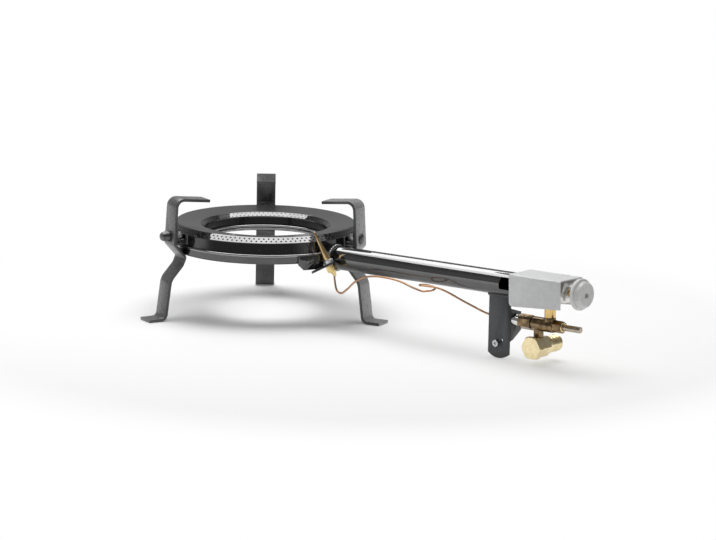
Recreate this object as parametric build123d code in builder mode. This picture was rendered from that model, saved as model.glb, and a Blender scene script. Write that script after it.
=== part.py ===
from build123d import *
import os
from math import atan2, cos, degrees, pi, radians, sin, tan

# Paella gas burner, in millimetres. The origin lies on the floor under the middle of the ring, +Z is up
# and the mixer tube leaves the ring along +X. Places along the tube are measured from the ring's wall.

os.makedirs("parts", exist_ok=True)

# Clearances
seam_gap = 0.3
bolt_clearance = 0.2
running_gap = 0.05
thread_gap = 0.05

# Ring: two pressed sheets
sheet = 1.2
ring_wall_radius = 98.0
ring_top = 93.5
outer_bevel = 5.9
top_inner_radius = 67.4
top_dish = 3.1
inner_bevel = 4.1
press_radius = 0.9
tray_bottom = 65.6
tray_rim_height = 9.7
tray_rise = 6.1
tray_flange_height = 6.3
skirt_lift = 1.8
tray_bend_radius = 2.8

# Flame ports
outer_port_radius = 0.9
inner_port_radius = 0.6
port_row_gap = 3.0
outer_port_count = 120
inner_port_count = 88

# Legs: bent flat bar, one beside the tube and two at 120 degrees to it
bar_width = 20.0
bar_thickness = 3.0
leg_turn = 13.0
pan_height = 126.3
hook_tip_radius = 71.2
hook_droop = 3.9
hook_bend_radius = 9.5
leg_top_radius = 110.4
leg_waist_radius = 113.5
leg_waist_height = 78.0
knee_radius = 101.1
knee_height = 64.4
shin_radius = 103.9
shin_height = 57.6
calf_radius = 117.5
calf_height = 42.6
heel_radius = 123.0
foot_end_radius = 140.5

# Lugs and their M6 bolts
lug_sheet = 2.0
lug_width = 18.0
lug_bottom = 77.4
lug_top = 94.0
lug_bend_radius = 3.0
bolt_height = 86.0
bolt_radius = 3.0
bolt_dome_radius = 5.8
bolt_dome_height = 4.6
bolt_tail = 1.6
washer_radius = 5.4
washer_thickness = 1.2
nut_flats = 10.0
nut_thickness = 5.0

# Mixer tube
tube_tilt = 1.65
tube_root_height = 68.8
tube_radius = 12.0
tube_wall = 1.5
tube_length = 252.0
tube_inset = 6.0
window_start = 224.0
window_length = 17.0
window_height = 12.0
window_up = 1.7
window_corner = 1.5

# Tap on the end of the tube
spigot_start = 245.0
tap_body_radius = 11.6
tap_front = 288.0
tap_boss_radius = 8.9
tap_boss_length = 5.0
plug_start = 262.0
plug_small_radius = 6.0
plug_large_radius = 7.5
gas_way_radius = 2.6
socket_side = 4.2
socket_depth = 8.0
bezel_start = 289.0
bezel_flats = 20.0
bezel_length = 12.0
bezel_wall = 3.0
bezel_chamber_radius = 7.0
bezel_neck_radius = 5.6
bezel_neck_length = 3.0
spindle_radius = 3.0
collar_radius = 6.4
collar_thickness = 1.8
tang_side = 4.0
tang_end = 283.5
knob_travel = 3.0
injector_length = 8.0
injector_flats = 9.0
injector_thread_radius = 3.5
injector_thread_length = 5.0
jet_radius = 0.6

# Knob
knob_back = 314.0
knob_skirt_radius = 15.3
knob_skirt_height = 4.0
knob_grip_radius = 12.9
knob_face_radius = 12.0
knob_height = 9.4
knob_hub_radius = 6.0
knob_hub_length = 5.5
knob_hole_radius = 2.7
knob_hole_depth = 4.0

# Cover over the tap
cover_sheet = 1.2
cover_start = 241.4
cover_length = 63.0
cover_width = 35.0
cover_top = 13.5
cover_drop_start = 18.3
cover_drop_end = 14.6
cover_bend_radius = 1.9
cover_corner_radius = 4.0
cover_slot_start = 282.0
cover_slot_length = 10.0
cover_slot_width = 1.6
cover_slot_inset = 3.4
cover_screw_radius = 1.5
cover_screw_up = -2.5
cover_screw_first = 267.0
cover_screw_pitch = 14.0
cover_screw_length = 8.0
cover_screw_head_radius = 2.9
cover_screw_head_height = 1.9

# Safety valve under the tube
valve_across = 6.0
valve_down = 36.5
shank_radius = 4.9
ring_nut_length = 8.0
ring_nut_radius = 6.6
valve_hex_flats = 13.4
valve_hex_length = 15.0
valve_mid_radius = 6.8
valve_mid_length = 26.4
seat_start = 264.0
seat_wall = 2.5
seat_hole_radius = 3.2
inlet_chamber_radius = 5.6
outlet_chamber_radius = 4.5
gland_flats = 10.6
gland_length = 10.6
gland_spigot = 1.8
gland_spigot_radius = 4.45
seal_radius = 0.5
seal_place = 282.0
rod_radius = 3.1
rod_tip_radius = 2.0
rod_tip_spare = 1.0
rod_end = 312.0
rod_travel = 3.5
magnet_radius = 3.9
magnet_hex_flats = 10.0
magnet_hex_length = 4.5
magnet_face = 246.0
disc_radius = 4.9
disc_thickness = 2.0
stem_radius = 1.4
armature_radius = 3.5
armature_thickness = 1.4
lead_nut_flats = 8.0
lead_nut_length = 7.5
spring_wire_radius = 0.35
spring_mean_radius = 4.7

# Riser, neck and gas inlet
riser_along = 274.2
riser_radius = 5.6
riser_thread_radius = 4.4
riser_bore_radius = 2.5
riser_thread_length = 3.2
neck_along = 260.0
neck_radius = 4.9
neck_thread_radius = 3.5
neck_thread_length = 3.8
neck_way_radius = 2.2
inlet_down = 59.3
inlet_block_flats = 19.0
inlet_block_start = 1.5
inlet_block_length = 12.3
inlet_bore_radius = 3.6
inlet_thread_radius = 4.6
inlet_thread_length = 3.0
cap_flats = 21.0
cap_length = 7.2
washer_gap = 0.8
nipple_collar_radius = 9.0
nipple_collar_length = 4.4
nipple_thread_radius = 8.33
nipple_thread_length = 16.0
nipple_bore_radius = 3.2

# Foot bracket and its screw
bracket_sheet = 2.5
bracket_left = 303.2
bracket_right = 328.8
bracket_toe_radius = 20.0
flange_end = 230.5
flange_reach = 15.6
flange_top = 50.8
flange_top_end = 46.0
flange_low_end = 28.0
flange_bottom = 19.0
screw_place = (313.6, 14.6)
screw_radius = 2.0
screw_head_radius = 3.5
screw_head_height = 2.3
screw_nut_flats = 7.0
screw_nut_thickness = 3.2
spare_hole_place = (320.1, 18.1)
spare_hole_radius = 1.6

# Flame probe on its tab
probe_seat = Vector(107.9, -20.0, 65.9)
probe_tip = Vector(93.6, -28.5, 98.0)
tab_sheet = 2.0
tab_from = -27.5
tab_to = -11.0
tab_height = 14.5
tab_low = 60.0
shelf_width = 12.0
shelf_inward = 20.0
shelf_outward = 5.8
probe_radius = 2.5
probe_thread_radius = 3.0
probe_thread_length = 8.0
lock_nut_flats = 9.0
lock_nut_thickness = 3.6
gland_nut_flats = 9.6
gland_nut_length = 7.0
lead_radius = 1.0


# Planes and small builders that the pieces share
tube_rise = radians(tube_tilt)
tube_axis = Plane(
    origin=(ring_wall_radius, 0, tube_root_height),
    x_dir=(0, 1, 0),
    z_dir=(cos(tube_rise), 0, sin(tube_rise)),
)


def station(along, across=0.0, up=0.0):
    """A plane square to the tube: its x is across to the back, its y is up."""
    place = tube_axis.from_local_coords(Vector(across, up, along))
    return Plane(origin=place, x_dir=tube_axis.x_dir, z_dir=tube_axis.z_dir)


def side_plane(across=0.0, up=0.0):
    """A plane in line with the tube: its x is along it from the ring's wall, its y is up."""
    return Plane(
        origin=station(0, across, up).origin,
        x_dir=tube_axis.z_dir,
        z_dir=(0, -1, 0),
    )


def cross_plane(along, across, up):
    """A plane that faces the back, square to the width of the tube."""
    place = station(along, across, up).origin
    return Plane(origin=place, x_dir=tube_axis.z_dir * -1, z_dir=(0, 1, 0))


def radial_plane(azimuth):
    """An upright plane through the ring's axis: its x is the radius, its y is the height."""
    turn = radians(azimuth)
    return Plane(origin=(0, 0, 0), x_dir=(cos(turn), sin(turn), 0), z_dir=(sin(turn), -cos(turn), 0))


def filled(points, plane):
    """A face with straight sides through the points."""
    with BuildSketch(plane) as face:
        with BuildLine():
            Polyline(*points, close=True)
        make_face()
    return face.sketch


def disc_profile(reaches, plane):
    """Half the section of a turned piece: pairs of a place along its axis and the radius there."""
    first, last = reaches[0][0], reaches[-1][0]
    return filled([(first, 0), *reaches, (last, 0)], plane)


def hexagon_bar(plane, flats, length, turn=0.0, ends=0.5):
    """A hexagon bar whose corners are turned off at both ends."""
    corner = flats / 3 ** 0.5
    rim = flats / 2 + (corner - flats / 2) * 0.3
    upright = Plane(origin=plane.origin, x_dir=plane.z_dir, z_dir=plane.y_dir)
    with BuildPart() as bar:
        with BuildSketch(plane):
            RegularPolygon(radius=corner, side_count=6, rotation=turn)
        extrude(amount=length)
        outline = [(0, rim), (ends, corner + 0.01), (length - ends, corner + 0.01), (length, rim)]
        revolve(disc_profile(outline, upright), axis=Axis(plane.origin, plane.z_dir), mode=Mode.INTERSECT)
    return bar.part


def coil(plane, mean_radius, wire_radius, length, turns):
    """A compression spring along the plane's normal."""
    pitch = (length - 2 * wire_radius) / turns
    start = plane.offset(wire_radius)
    with BuildPart() as spring:
        with BuildLine() as path:
            Helix(
                pitch=pitch,
                height=pitch * turns,
                radius=mean_radius,
                center=start.origin,
                direction=start.z_dir,
            )
        with BuildSketch(Plane(origin=path.line @ 0, z_dir=path.line % 0)) as section:
            Circle(wire_radius)
        sweep(section.sketch, path=path.line, is_frenet=True)
    return spring.part


def save(piece, name, pcurves=True):
    piece.part.label = name
    export_step(piece.part, f"parts/{name}.step", write_pcurves=pcurves)


# Ring: the outside line of each sheet, from the outer skirt over the top to the inner skirt
tray_rim_radius = ring_wall_radius + seam_gap + sheet
hole_wall_radius = top_inner_radius - inner_bevel
tray_flange_radius = hole_wall_radius - seam_gap - sheet
bevel_top_radius = ring_wall_radius - outer_bevel
shell_line = [
    (ring_wall_radius, tray_bottom + sheet + skirt_lift),
    (ring_wall_radius, ring_top - outer_bevel),
    (bevel_top_radius, ring_top),
    (top_inner_radius, ring_top - top_dish),
    (hole_wall_radius, ring_top - top_dish - inner_bevel),
    (hole_wall_radius, tray_bottom + tray_rise + sheet + skirt_lift),
]
tray_line = [
    (tray_rim_radius, tray_bottom + tray_rim_height),
    (tray_rim_radius, tray_bottom),
    (tray_flange_radius, tray_bottom + tray_rise),
    (tray_flange_radius, tray_bottom + tray_rise + tray_flange_height),
]


def port_planes(radius, height, lean, count, step):
    """Planes square to a bevel, evenly spaced round the ring."""
    slope = radians(lean)
    planes = []
    for number in range(count):
        turn = 2 * pi * (number + step) / count
        middle = (radius * cos(turn), radius * sin(turn), height)
        normal = (sin(slope) * cos(turn), sin(slope) * sin(turn), cos(slope))
        planes.append(Plane(origin=middle, x_dir=(-sin(turn), cos(turn), 0), z_dir=normal))
    return planes


outer_port_reach = ring_wall_radius - outer_bevel / 2
outer_port_height = ring_top - outer_bevel / 2
inner_port_reach = top_inner_radius - inner_bevel / 2
inner_port_height = ring_top - top_dish - inner_bevel / 2
outer_ports = []
inner_ports = []
for row in (-0.5, 0.5):
    shift = row * port_row_gap / 2 ** 0.5
    step = row / 2 + 0.25
    outer_ports += port_planes(outer_port_reach + shift, outer_port_height - shift, 45, outer_port_count, step)
    inner_ports += port_planes(inner_port_reach - shift, inner_port_height - shift, -45, inner_port_count, step)

with BuildPart() as burner_top_shell:
    with BuildSketch(Plane.XZ):
        with BuildLine():
            FilletPolyline(*shell_line, radius=press_radius)
            offset(amount=sheet, side=Side.LEFT)
        make_face()
    revolve(axis=Axis.Z)
    with Locations(*outer_ports):
        Cylinder(radius=outer_port_radius, height=4 * sheet, mode=Mode.SUBTRACT)
    with Locations(*inner_ports):
        Cylinder(radius=inner_port_radius, height=4 * sheet, mode=Mode.SUBTRACT)
    with BuildSketch(station(-tube_inset)):
        Circle(tube_radius - tube_wall)
    extrude(amount=2 * tube_inset, mode=Mode.SUBTRACT)
save(burner_top_shell, "burner_top_shell", pcurves=False)

with BuildPart() as burner_tray:
    with BuildSketch(Plane.XZ):
        with BuildLine():
            FilletPolyline(*tray_line, radius=tray_bend_radius)
            offset(amount=sheet, side=Side.RIGHT)
        make_face()
    revolve(axis=Axis.Z)
    with BuildSketch(station(-tube_inset + tube_wall)):
        Circle(tube_radius - tube_wall)
    extrude(amount=2 * tube_inset, mode=Mode.SUBTRACT)
save(burner_tray, "burner_tray")

# Legs, lugs and bolts: the outer face of the bar from the hook's tip to the foot
leg_lean = atan2(leg_waist_radius - leg_top_radius, pan_height - leg_waist_height)
leg_line = [
    (hook_tip_radius, pan_height - hook_droop),
    (leg_top_radius, pan_height),
    (leg_waist_radius, leg_waist_height),
    (knee_radius, knee_height),
    (shin_radius, shin_height),
    (calf_radius, calf_height),
    (heel_radius, bar_thickness),
    (foot_end_radius, bar_thickness),
]
leg_bends = [hook_bend_radius, bar_thickness + 2, 1.5, 5.0, 16.0, 4.5]
bolt_face_radius = leg_top_radius + (pan_height - bolt_height) * tan(leg_lean)
leg_inner = bar_thickness / cos(leg_lean)
lug_line = [
    (ring_wall_radius - 3 * sheet, lug_bottom),
    (leg_top_radius + (pan_height - lug_bottom) * tan(leg_lean) - leg_inner, lug_bottom),
    (leg_top_radius + (pan_height - lug_top) * tan(leg_lean) - leg_inner, lug_top),
]


def bolt_plane(azimuth, depth=0.0):
    """The plane on the leg's outer face at its bolt, facing out, moved in by the depth."""
    upright = radial_plane(azimuth)
    outward = upright.x_dir * cos(leg_lean) + upright.y_dir * sin(leg_lean)
    place = upright.from_local_coords(Vector(bolt_face_radius, bolt_height, 0))
    return Plane(origin=place - outward * depth, x_dir=upright.z_dir, z_dir=outward)


def bolt_parts(azimuth):
    """Dome bolt, washer and nut of one leg."""
    grip = bar_thickness + lug_sheet
    shank = grip + washer_thickness + nut_thickness + bolt_tail
    face = bolt_plane(azimuth)
    inside = bolt_plane(azimuth, grip + washer_thickness)
    upright = Plane(origin=face.origin, x_dir=face.x_dir, z_dir=face.y_dir * -1)
    dome_drop = (bolt_dome_radius ** 2 - bolt_dome_height ** 2) / (2 * bolt_dome_height)
    dome_curve = bolt_dome_height + dome_drop
    dome_turn = atan2(bolt_dome_radius, dome_drop) / 2
    dome_middle = (dome_curve * sin(dome_turn), dome_curve * cos(dome_turn) - dome_drop)
    with BuildPart() as bolt:
        with BuildSketch(upright):
            with BuildLine():
                Polyline((0, bolt_dome_height), (0, -shank), (bolt_radius, -shank), (bolt_radius, 0),
                         (bolt_dome_radius, 0))
                ThreePointArc((bolt_dome_radius, 0), dome_middle, (0, bolt_dome_height))
            make_face()
        revolve(axis=Axis(face.origin, face.z_dir))
    with BuildPart() as washer:
        with BuildSketch(bolt_plane(azimuth, grip + washer_thickness)):
            Circle(washer_radius)
            Circle(bolt_radius + bolt_clearance, mode=Mode.SUBTRACT)
        extrude(amount=washer_thickness)
    with BuildPart() as nut:
        add(hexagon_bar(Plane(inside.origin, x_dir=inside.x_dir, z_dir=inside.z_dir * -1),
                        nut_flats, nut_thickness))
        with BuildSketch(inside):
            Circle(bolt_radius + thread_gap)
        extrude(amount=-nut_thickness, mode=Mode.SUBTRACT)
    return bolt.part, washer.part, nut.part


bolts, washers, nuts = [], [], []
for name, azimuth in (("right", leg_turn), ("rear", leg_turn + 120), ("left", leg_turn + 240)):
    with BuildPart() as leg:
        with BuildSketch(radial_plane(azimuth)):
            with BuildLine():
                FilletPolyline(*leg_line, radius=leg_bends)
                offset(amount=bar_thickness, side=Side.RIGHT)
            make_face()
        extrude(amount=bar_width / 2, both=True)
        with BuildSketch(bolt_plane(azimuth, bar_thickness * 2)):
            Circle(bolt_radius + bolt_clearance)
        extrude(amount=bar_thickness * 3, mode=Mode.SUBTRACT)
    save(leg, f"leg_{name}")
    with BuildPart() as lug:
        with BuildSketch(radial_plane(azimuth)):
            with BuildLine():
                FilletPolyline(*lug_line, radius=lug_bend_radius)
                offset(amount=lug_sheet, side=Side.LEFT)
            make_face()
        extrude(amount=lug_width / 2, both=True)
        with BuildSketch():
            Circle(ring_wall_radius)
        extrude(amount=pan_height, mode=Mode.SUBTRACT)
        with BuildSketch(bolt_plane(azimuth, bar_thickness + lug_sheet * 2)):
            Circle(bolt_radius + bolt_clearance)
        extrude(amount=lug_sheet * 3, mode=Mode.SUBTRACT)
    save(lug, f"lug_{name}")
    bolt, washer, nut = bolt_parts(azimuth)
    bolts.append(bolt)
    washers.append(washer)
    nuts.append(nut)

for name, group in (("leg_bolts", bolts), ("leg_washers", washers), ("leg_nuts", nuts)):
    with BuildPart() as fasteners:
        add(group)
    save(fasteners, name)

# Mixer tube: its root is cut away where the ring sits on it, and its lower lip is closed under the tray
with BuildPart() as mixer_tube:
    with BuildSketch(station(-tube_inset)):
        Circle(tube_radius)
    extrude(amount=tube_inset + tube_length)
    with BuildSketch(station(-tube_inset + tube_wall)):
        Circle(tube_radius - tube_wall)
    extrude(amount=tube_inset + tube_length, mode=Mode.SUBTRACT)
    with BuildSketch(side_plane()):
        with Locations((window_start + window_length / 2, window_up)):
            RectangleRounded(window_length, window_height, window_corner)
    extrude(amount=2 * tube_radius, both=True, mode=Mode.SUBTRACT)
    root_line = [
        (tray_flange_radius, tray_bottom + tray_rise - seam_gap),
        (tray_rim_radius + seam_gap, tray_bottom - seam_gap),
        (tray_rim_radius + seam_gap, tray_bottom + tray_rim_height + seam_gap),
        (ring_wall_radius + seam_gap, tray_bottom + tray_rim_height + seam_gap),
        (ring_wall_radius + seam_gap, ring_top),
        (tray_flange_radius, ring_top),
    ]
    with BuildSketch(Plane.XZ) as root:
        add(filled(root_line, Plane.XY))
        fillet(root.vertices().sort_by(Axis.Y)[0], radius=tray_bend_radius + seam_gap)
    revolve(axis=Axis.Z, mode=Mode.SUBTRACT)
save(mixer_tube, "mixer_tube")

# Safety valve, turned about its own line under the tube
valve_up = -valve_down
valve_plane = side_plane(valve_across, valve_up)
valve_line = Axis(valve_plane.origin, tube_axis.z_dir)
flange_start = flange_end - bracket_sheet
hex_start = flange_end + ring_nut_length
hex_end = hex_start + valve_hex_length
mid_end = hex_end + valve_mid_length
chamber_start = hex_start + 1.6
inlet_up = -inlet_down
block_plane = Plane(
    origin=station(neck_along, 0, inlet_up).origin,
    x_dir=tube_axis.z_dir * -1,
    z_dir=(0, 1, 0),
)
block_line = Axis(block_plane.origin, (0, 1, 0))
block_side = Plane(origin=block_plane.origin, x_dir=(0, 1, 0), z_dir=tube_axis.z_dir)
block_half = inlet_block_flats / 2
neck_plane = Plane(
    origin=station(neck_along, valve_across, valve_up).origin,
    x_dir=tube_axis.x_dir,
    z_dir=tube_axis.y_dir * -1,
)
riser_plane = Plane(
    origin=station(riser_along, valve_across, valve_up).origin,
    x_dir=tube_axis.x_dir,
    z_dir=tube_axis.y_dir,
)
neck_length = inlet_down - valve_down - block_half
riser_top = valve_down - tap_body_radius - 2.0
riser_foot = valve_mid_radius + 1.2

with BuildPart() as safety_valve_body:
    add(hexagon_bar(station(hex_start, valve_across, valve_up), valve_hex_flats, valve_hex_length, 90))
    middle = [
        (flange_start, shank_radius),
        (hex_start + 1, shank_radius),
        (hex_end - 1, shank_radius),
        (hex_end - 1, valve_mid_radius - 1),
        (hex_end, valve_mid_radius - 0.6),
        (hex_end + 2, valve_mid_radius),
        (mid_end - 1.2, valve_mid_radius),
        (mid_end, valve_mid_radius - 1),
    ]
    revolve(disc_profile(middle, valve_plane), axis=valve_line)
    with BuildSketch(neck_plane):
        Circle(neck_radius)
    extrude(amount=neck_length)
    with BuildSketch(neck_plane.offset(neck_length)):
        Circle(neck_thread_radius)
    extrude(amount=neck_thread_length)
    with BuildSketch(riser_plane):
        Circle(riser_radius)
    extrude(amount=riser_foot)
    chamber = [
        (flange_start, magnet_radius + running_gap),
        (chamber_start, magnet_radius + running_gap),
        (chamber_start, inlet_chamber_radius),
        (seat_start, inlet_chamber_radius),
        (seat_start, seat_hole_radius),
        (seat_start + seat_wall, seat_hole_radius),
        (seat_start + seat_wall, outlet_chamber_radius),
        (mid_end, outlet_chamber_radius),
    ]
    revolve(disc_profile(chamber, valve_plane), axis=valve_line, mode=Mode.SUBTRACT)
    with BuildSketch(neck_plane):
        Circle(neck_way_radius)
    extrude(amount=inlet_down, mode=Mode.SUBTRACT)
    with BuildSketch(riser_plane):
        Circle(riser_bore_radius)
    extrude(amount=valve_down, mode=Mode.SUBTRACT)
    with BuildSketch(riser_plane.offset(riser_foot - riser_thread_length - 1)):
        Circle(riser_thread_radius + thread_gap)
    extrude(amount=valve_down, mode=Mode.SUBTRACT)
save(safety_valve_body, "safety_valve_body")

with BuildPart() as valve_ring_nut:
    ease = 0.4
    rim = [
        (flange_end, ring_nut_radius - ease),
        (flange_end + ease, ring_nut_radius),
        (hex_start - ease, ring_nut_radius),
        (hex_start, ring_nut_radius - ease),
    ]
    revolve(disc_profile(rim, valve_plane), axis=valve_line)
    with BuildSketch(station(flange_end, valve_across, valve_up)):
        Circle(shank_radius + thread_gap)
    extrude(amount=ring_nut_length, mode=Mode.SUBTRACT)
save(valve_ring_nut, "valve_ring_nut")

# Inside the valve: the magnet, the spring that shuts it, the disc on its stem and the rod that opens it
with BuildPart() as magnet_unit:
    magnet_start = flange_start - magnet_hex_length
    add(hexagon_bar(station(magnet_start, valve_across, valve_up), magnet_hex_flats, magnet_hex_length))
    with BuildSketch(station(magnet_start, valve_across, valve_up)):
        Circle(magnet_radius)
    extrude(amount=magnet_face - magnet_start)
save(magnet_unit, "magnet_unit")

disc_start = seat_start - disc_thickness
with BuildPart() as valve_disc:
    disc_reaches = [(disc_start, disc_radius), (seat_start, disc_radius)]
    revolve(disc_profile(disc_reaches, valve_plane), axis=valve_line)
save(valve_disc, "valve_disc")

with BuildPart() as armature_stem:
    armature_face = magnet_face + rod_travel + running_gap
    stem_reaches = [
        (armature_face, armature_radius),
        (armature_face + armature_thickness, armature_radius),
        (armature_face + armature_thickness, stem_radius),
        (disc_start, stem_radius),
    ]
    revolve(disc_profile(stem_reaches, valve_plane), axis=valve_line)
save(armature_stem, "armature_stem")

with BuildPart() as closing_spring:
    add(coil(station(chamber_start, valve_across, valve_up), spring_mean_radius, spring_wire_radius,
             disc_start - chamber_start, 8))
save(closing_spring, "closing_spring")

with BuildPart() as push_rod:
    rod_step = seat_start + seat_wall + rod_travel + rod_tip_spare
    rod_reaches = [
        (seat_start, rod_tip_radius),
        (rod_step, rod_tip_radius),
        (rod_step, rod_radius),
        (rod_end - 0.5, rod_radius),
        (rod_end, rod_radius - 0.5),
    ]
    revolve(disc_profile(rod_reaches, valve_plane), axis=valve_line)
save(push_rod, "push_rod")

with BuildPart() as rod_gland_nut:
    add(hexagon_bar(station(mid_end, valve_across, valve_up), gland_flats, gland_length, 90))
    groove = seal_radius + 0.2
    gland_hole = [
        (mid_end - gland_spigot, rod_radius + running_gap),
        (seal_place - groove, rod_radius + running_gap),
        (seal_place - groove, rod_radius + running_gap + 2 * seal_radius + running_gap),
        (seal_place + groove, rod_radius + running_gap + 2 * seal_radius + running_gap),
        (seal_place + groove, rod_radius + running_gap),
        (mid_end + gland_length, rod_radius + running_gap),
    ]
    with BuildSketch(station(mid_end - gland_spigot, valve_across, valve_up)):
        Circle(gland_spigot_radius)
    extrude(amount=gland_spigot)
    revolve(disc_profile(gland_hole, valve_plane), axis=valve_line, mode=Mode.SUBTRACT)
save(rod_gland_nut, "rod_gland_nut")

with BuildPart() as rod_seal:
    with BuildSketch(valve_plane):
        with Locations((seal_place, rod_radius + running_gap + seal_radius)):
            Circle(seal_radius)
    revolve(axis=valve_line)
save(rod_seal, "rod_seal")

with BuildPart() as lead_end_nut:
    lead_nut_start = flange_start - magnet_hex_length - lead_nut_length
    lead_nut_plane = station(lead_nut_start, valve_across, valve_up)
    add(hexagon_bar(lead_nut_plane, lead_nut_flats, lead_nut_length))
    with BuildSketch(lead_nut_plane):
        Circle(lead_radius + running_gap)
    extrude(amount=lead_nut_length, mode=Mode.SUBTRACT)
save(lead_end_nut, "lead_end_nut")

# Riser from the valve up to the tap
riser_run = riser_top - riser_foot
with BuildPart() as riser_pipe:
    with BuildSketch(riser_plane.offset(riser_foot)):
        Circle(riser_radius)
    extrude(amount=riser_run)
    with BuildSketch(riser_plane.offset(riser_foot - riser_thread_length)):
        Circle(riser_thread_radius)
    extrude(amount=riser_run + 2 * riser_thread_length)
    with BuildSketch(riser_plane.offset(riser_foot - riser_thread_length)):
        Circle(riser_bore_radius)
    extrude(amount=riser_run + 2 * riser_thread_length, mode=Mode.SUBTRACT)
save(riser_pipe, "riser_pipe")

# Tap on the end of the tube
tube_line = Axis(tube_axis.origin, tube_axis.z_dir)
taper = (plug_large_radius - plug_small_radius) / (tap_front - plug_start)
pad_side = 15.0
pad_down = valve_down - riser_top
pad_depth = 5.6
lug_start = 260.0
lug_reach = cover_width / 2 - cover_sheet
lug_height = 8.0
injector_end = spigot_start + injector_thread_length
cover_screws_along = [cover_screw_first, cover_screw_first + cover_screw_pitch]

with BuildPart() as tap_body:
    outline = [
        (spigot_start, tube_radius - tube_wall - seam_gap),
        (tube_length, tube_radius - tube_wall - seam_gap),
        (tube_length, tap_body_radius),
        (tap_front, tap_body_radius),
        (tap_front, tap_boss_radius),
        (tap_front + tap_boss_length, tap_boss_radius),
    ]
    revolve(disc_profile(outline, side_plane()), axis=tube_line)
    with BuildSketch(station(riser_along - pad_side / 2)):
        with Locations((valve_across, pad_depth / 2 - pad_down)):
            Rectangle(pad_side, pad_depth)
    extrude(amount=pad_side)
    with BuildSketch(station(lug_start)):
        with Locations((lug_reach / 2, -2.0)):
            Rectangle(lug_reach, lug_height)
    extrude(amount=tap_front - lug_start)
    way = [
        (spigot_start, injector_thread_radius + thread_gap),
        (injector_end, injector_thread_radius + thread_gap),
        (injector_end, gas_way_radius),
        (plug_start, gas_way_radius),
        (plug_start, plug_small_radius + running_gap),
        (tap_front, plug_large_radius + running_gap),
        (tap_front + tap_boss_length, plug_large_radius + running_gap),
    ]
    revolve(disc_profile(way, side_plane()), axis=tube_line, mode=Mode.SUBTRACT)
    with BuildSketch(riser_plane.offset(riser_top)):
        Circle(riser_thread_radius + thread_gap)
    extrude(amount=riser_thread_length + 0.5, mode=Mode.SUBTRACT)
    with BuildSketch(riser_plane.offset(riser_top)):
        Circle(riser_bore_radius)
    extrude(amount=pad_down - 1.0, mode=Mode.SUBTRACT)
    for along in cover_screws_along:
        with BuildSketch(cross_plane(along, lug_reach, cover_screw_up)):
            Circle(cover_screw_radius + thread_gap)
        extrude(amount=-(cover_screw_length - cover_sheet + 0.3), mode=Mode.SUBTRACT)
save(tap_body, "tap_body")

with BuildPart() as injector_nozzle:
    nozzle_start = spigot_start - injector_length
    add(hexagon_bar(station(nozzle_start), injector_flats, injector_length))
    with BuildSketch(station(nozzle_start + injector_length - 1)):
        Circle(injector_thread_radius)
    extrude(amount=injector_thread_length + 1)
    jet = [
        (nozzle_start, jet_radius),
        (nozzle_start + 1.5, jet_radius),
        (nozzle_start + 2.7, 1.8),
        (injector_end, 1.8),
    ]
    revolve(disc_profile(jet, side_plane()), axis=tube_line, mode=Mode.SUBTRACT)
save(injector_nozzle, "injector_nozzle")

socket_end = tap_front - 0.5
plug_foot = plug_start + seam_gap
port_turn = radians(-118.0)
with BuildPart() as tap_plug:
    cone = [
        (plug_foot, plug_small_radius + (plug_foot - plug_start) * taper),
        (socket_end, plug_small_radius + (socket_end - plug_start) * taper),
    ]
    revolve(disc_profile(cone, side_plane()), axis=tube_line)
    with BuildSketch(station(plug_foot)):
        Circle(riser_bore_radius)
    extrude(amount=riser_along + riser_bore_radius - plug_foot, mode=Mode.SUBTRACT)
    port_side = tube_axis.x_dir * cos(port_turn) + tube_axis.y_dir * sin(port_turn)
    with BuildSketch(Plane(origin=station(riser_along).origin, x_dir=tube_axis.z_dir, z_dir=port_side)):
        Circle(riser_bore_radius - 0.1)
    extrude(amount=2 * plug_large_radius, mode=Mode.SUBTRACT)
    with BuildSketch(station(socket_end - socket_depth)):
        Rectangle(socket_side, socket_side)
    extrude(amount=socket_depth, mode=Mode.SUBTRACT)
save(tap_plug, "tap_plug")

bezel_inside = bezel_start + bezel_length - bezel_wall
collar_start = bezel_inside - collar_thickness
boss_end = tap_front + tap_boss_length
with BuildPart() as tap_bezel:
    add(hexagon_bar(station(bezel_start), bezel_flats, bezel_length))
    with BuildSketch(station(bezel_start + bezel_length)):
        Circle(bezel_neck_radius)
    extrude(amount=bezel_neck_length)
    hollow = [
        (bezel_start, tap_boss_radius + thread_gap),
        (boss_end + 0.3, tap_boss_radius + thread_gap),
        (boss_end + 0.3, bezel_chamber_radius),
        (bezel_inside, bezel_chamber_radius),
        (bezel_inside, spindle_radius + running_gap),
        (bezel_start + bezel_length + bezel_neck_length, spindle_radius + running_gap),
    ]
    revolve(disc_profile(hollow, side_plane()), axis=tube_line, mode=Mode.SUBTRACT)
save(tap_bezel, "tap_bezel")

spindle_end = knob_back + 3.0
flat_start = knob_back - knob_hub_length
flat_height = 2.2
with BuildPart() as tap_spindle:
    shaft = [
        (collar_start, collar_radius),
        (bezel_inside, collar_radius),
        (bezel_inside, spindle_radius),
        (spindle_end, spindle_radius),
    ]
    revolve(disc_profile(shaft, side_plane()), axis=tube_line)
    with BuildSketch(station(tang_end)):
        Rectangle(tang_side, tang_side)
    extrude(amount=collar_start - tang_end + 0.5)
    with BuildSketch(station(flat_start)):
        with Locations((0, flat_height + spindle_radius)):
            Rectangle(4 * spindle_radius, 2 * spindle_radius)
    extrude(amount=spindle_end, mode=Mode.SUBTRACT)
    with BuildSketch(station(flat_start - 2)):
        Circle(1.5 + thread_gap)
    extrude(amount=spindle_end, mode=Mode.SUBTRACT)
save(tap_spindle, "tap_spindle")

with BuildPart() as tap_spring:
    add(coil(station(socket_end), 5.2, 0.4, collar_start - socket_end, 5))
save(tap_spring, "tap_spring")

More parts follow.
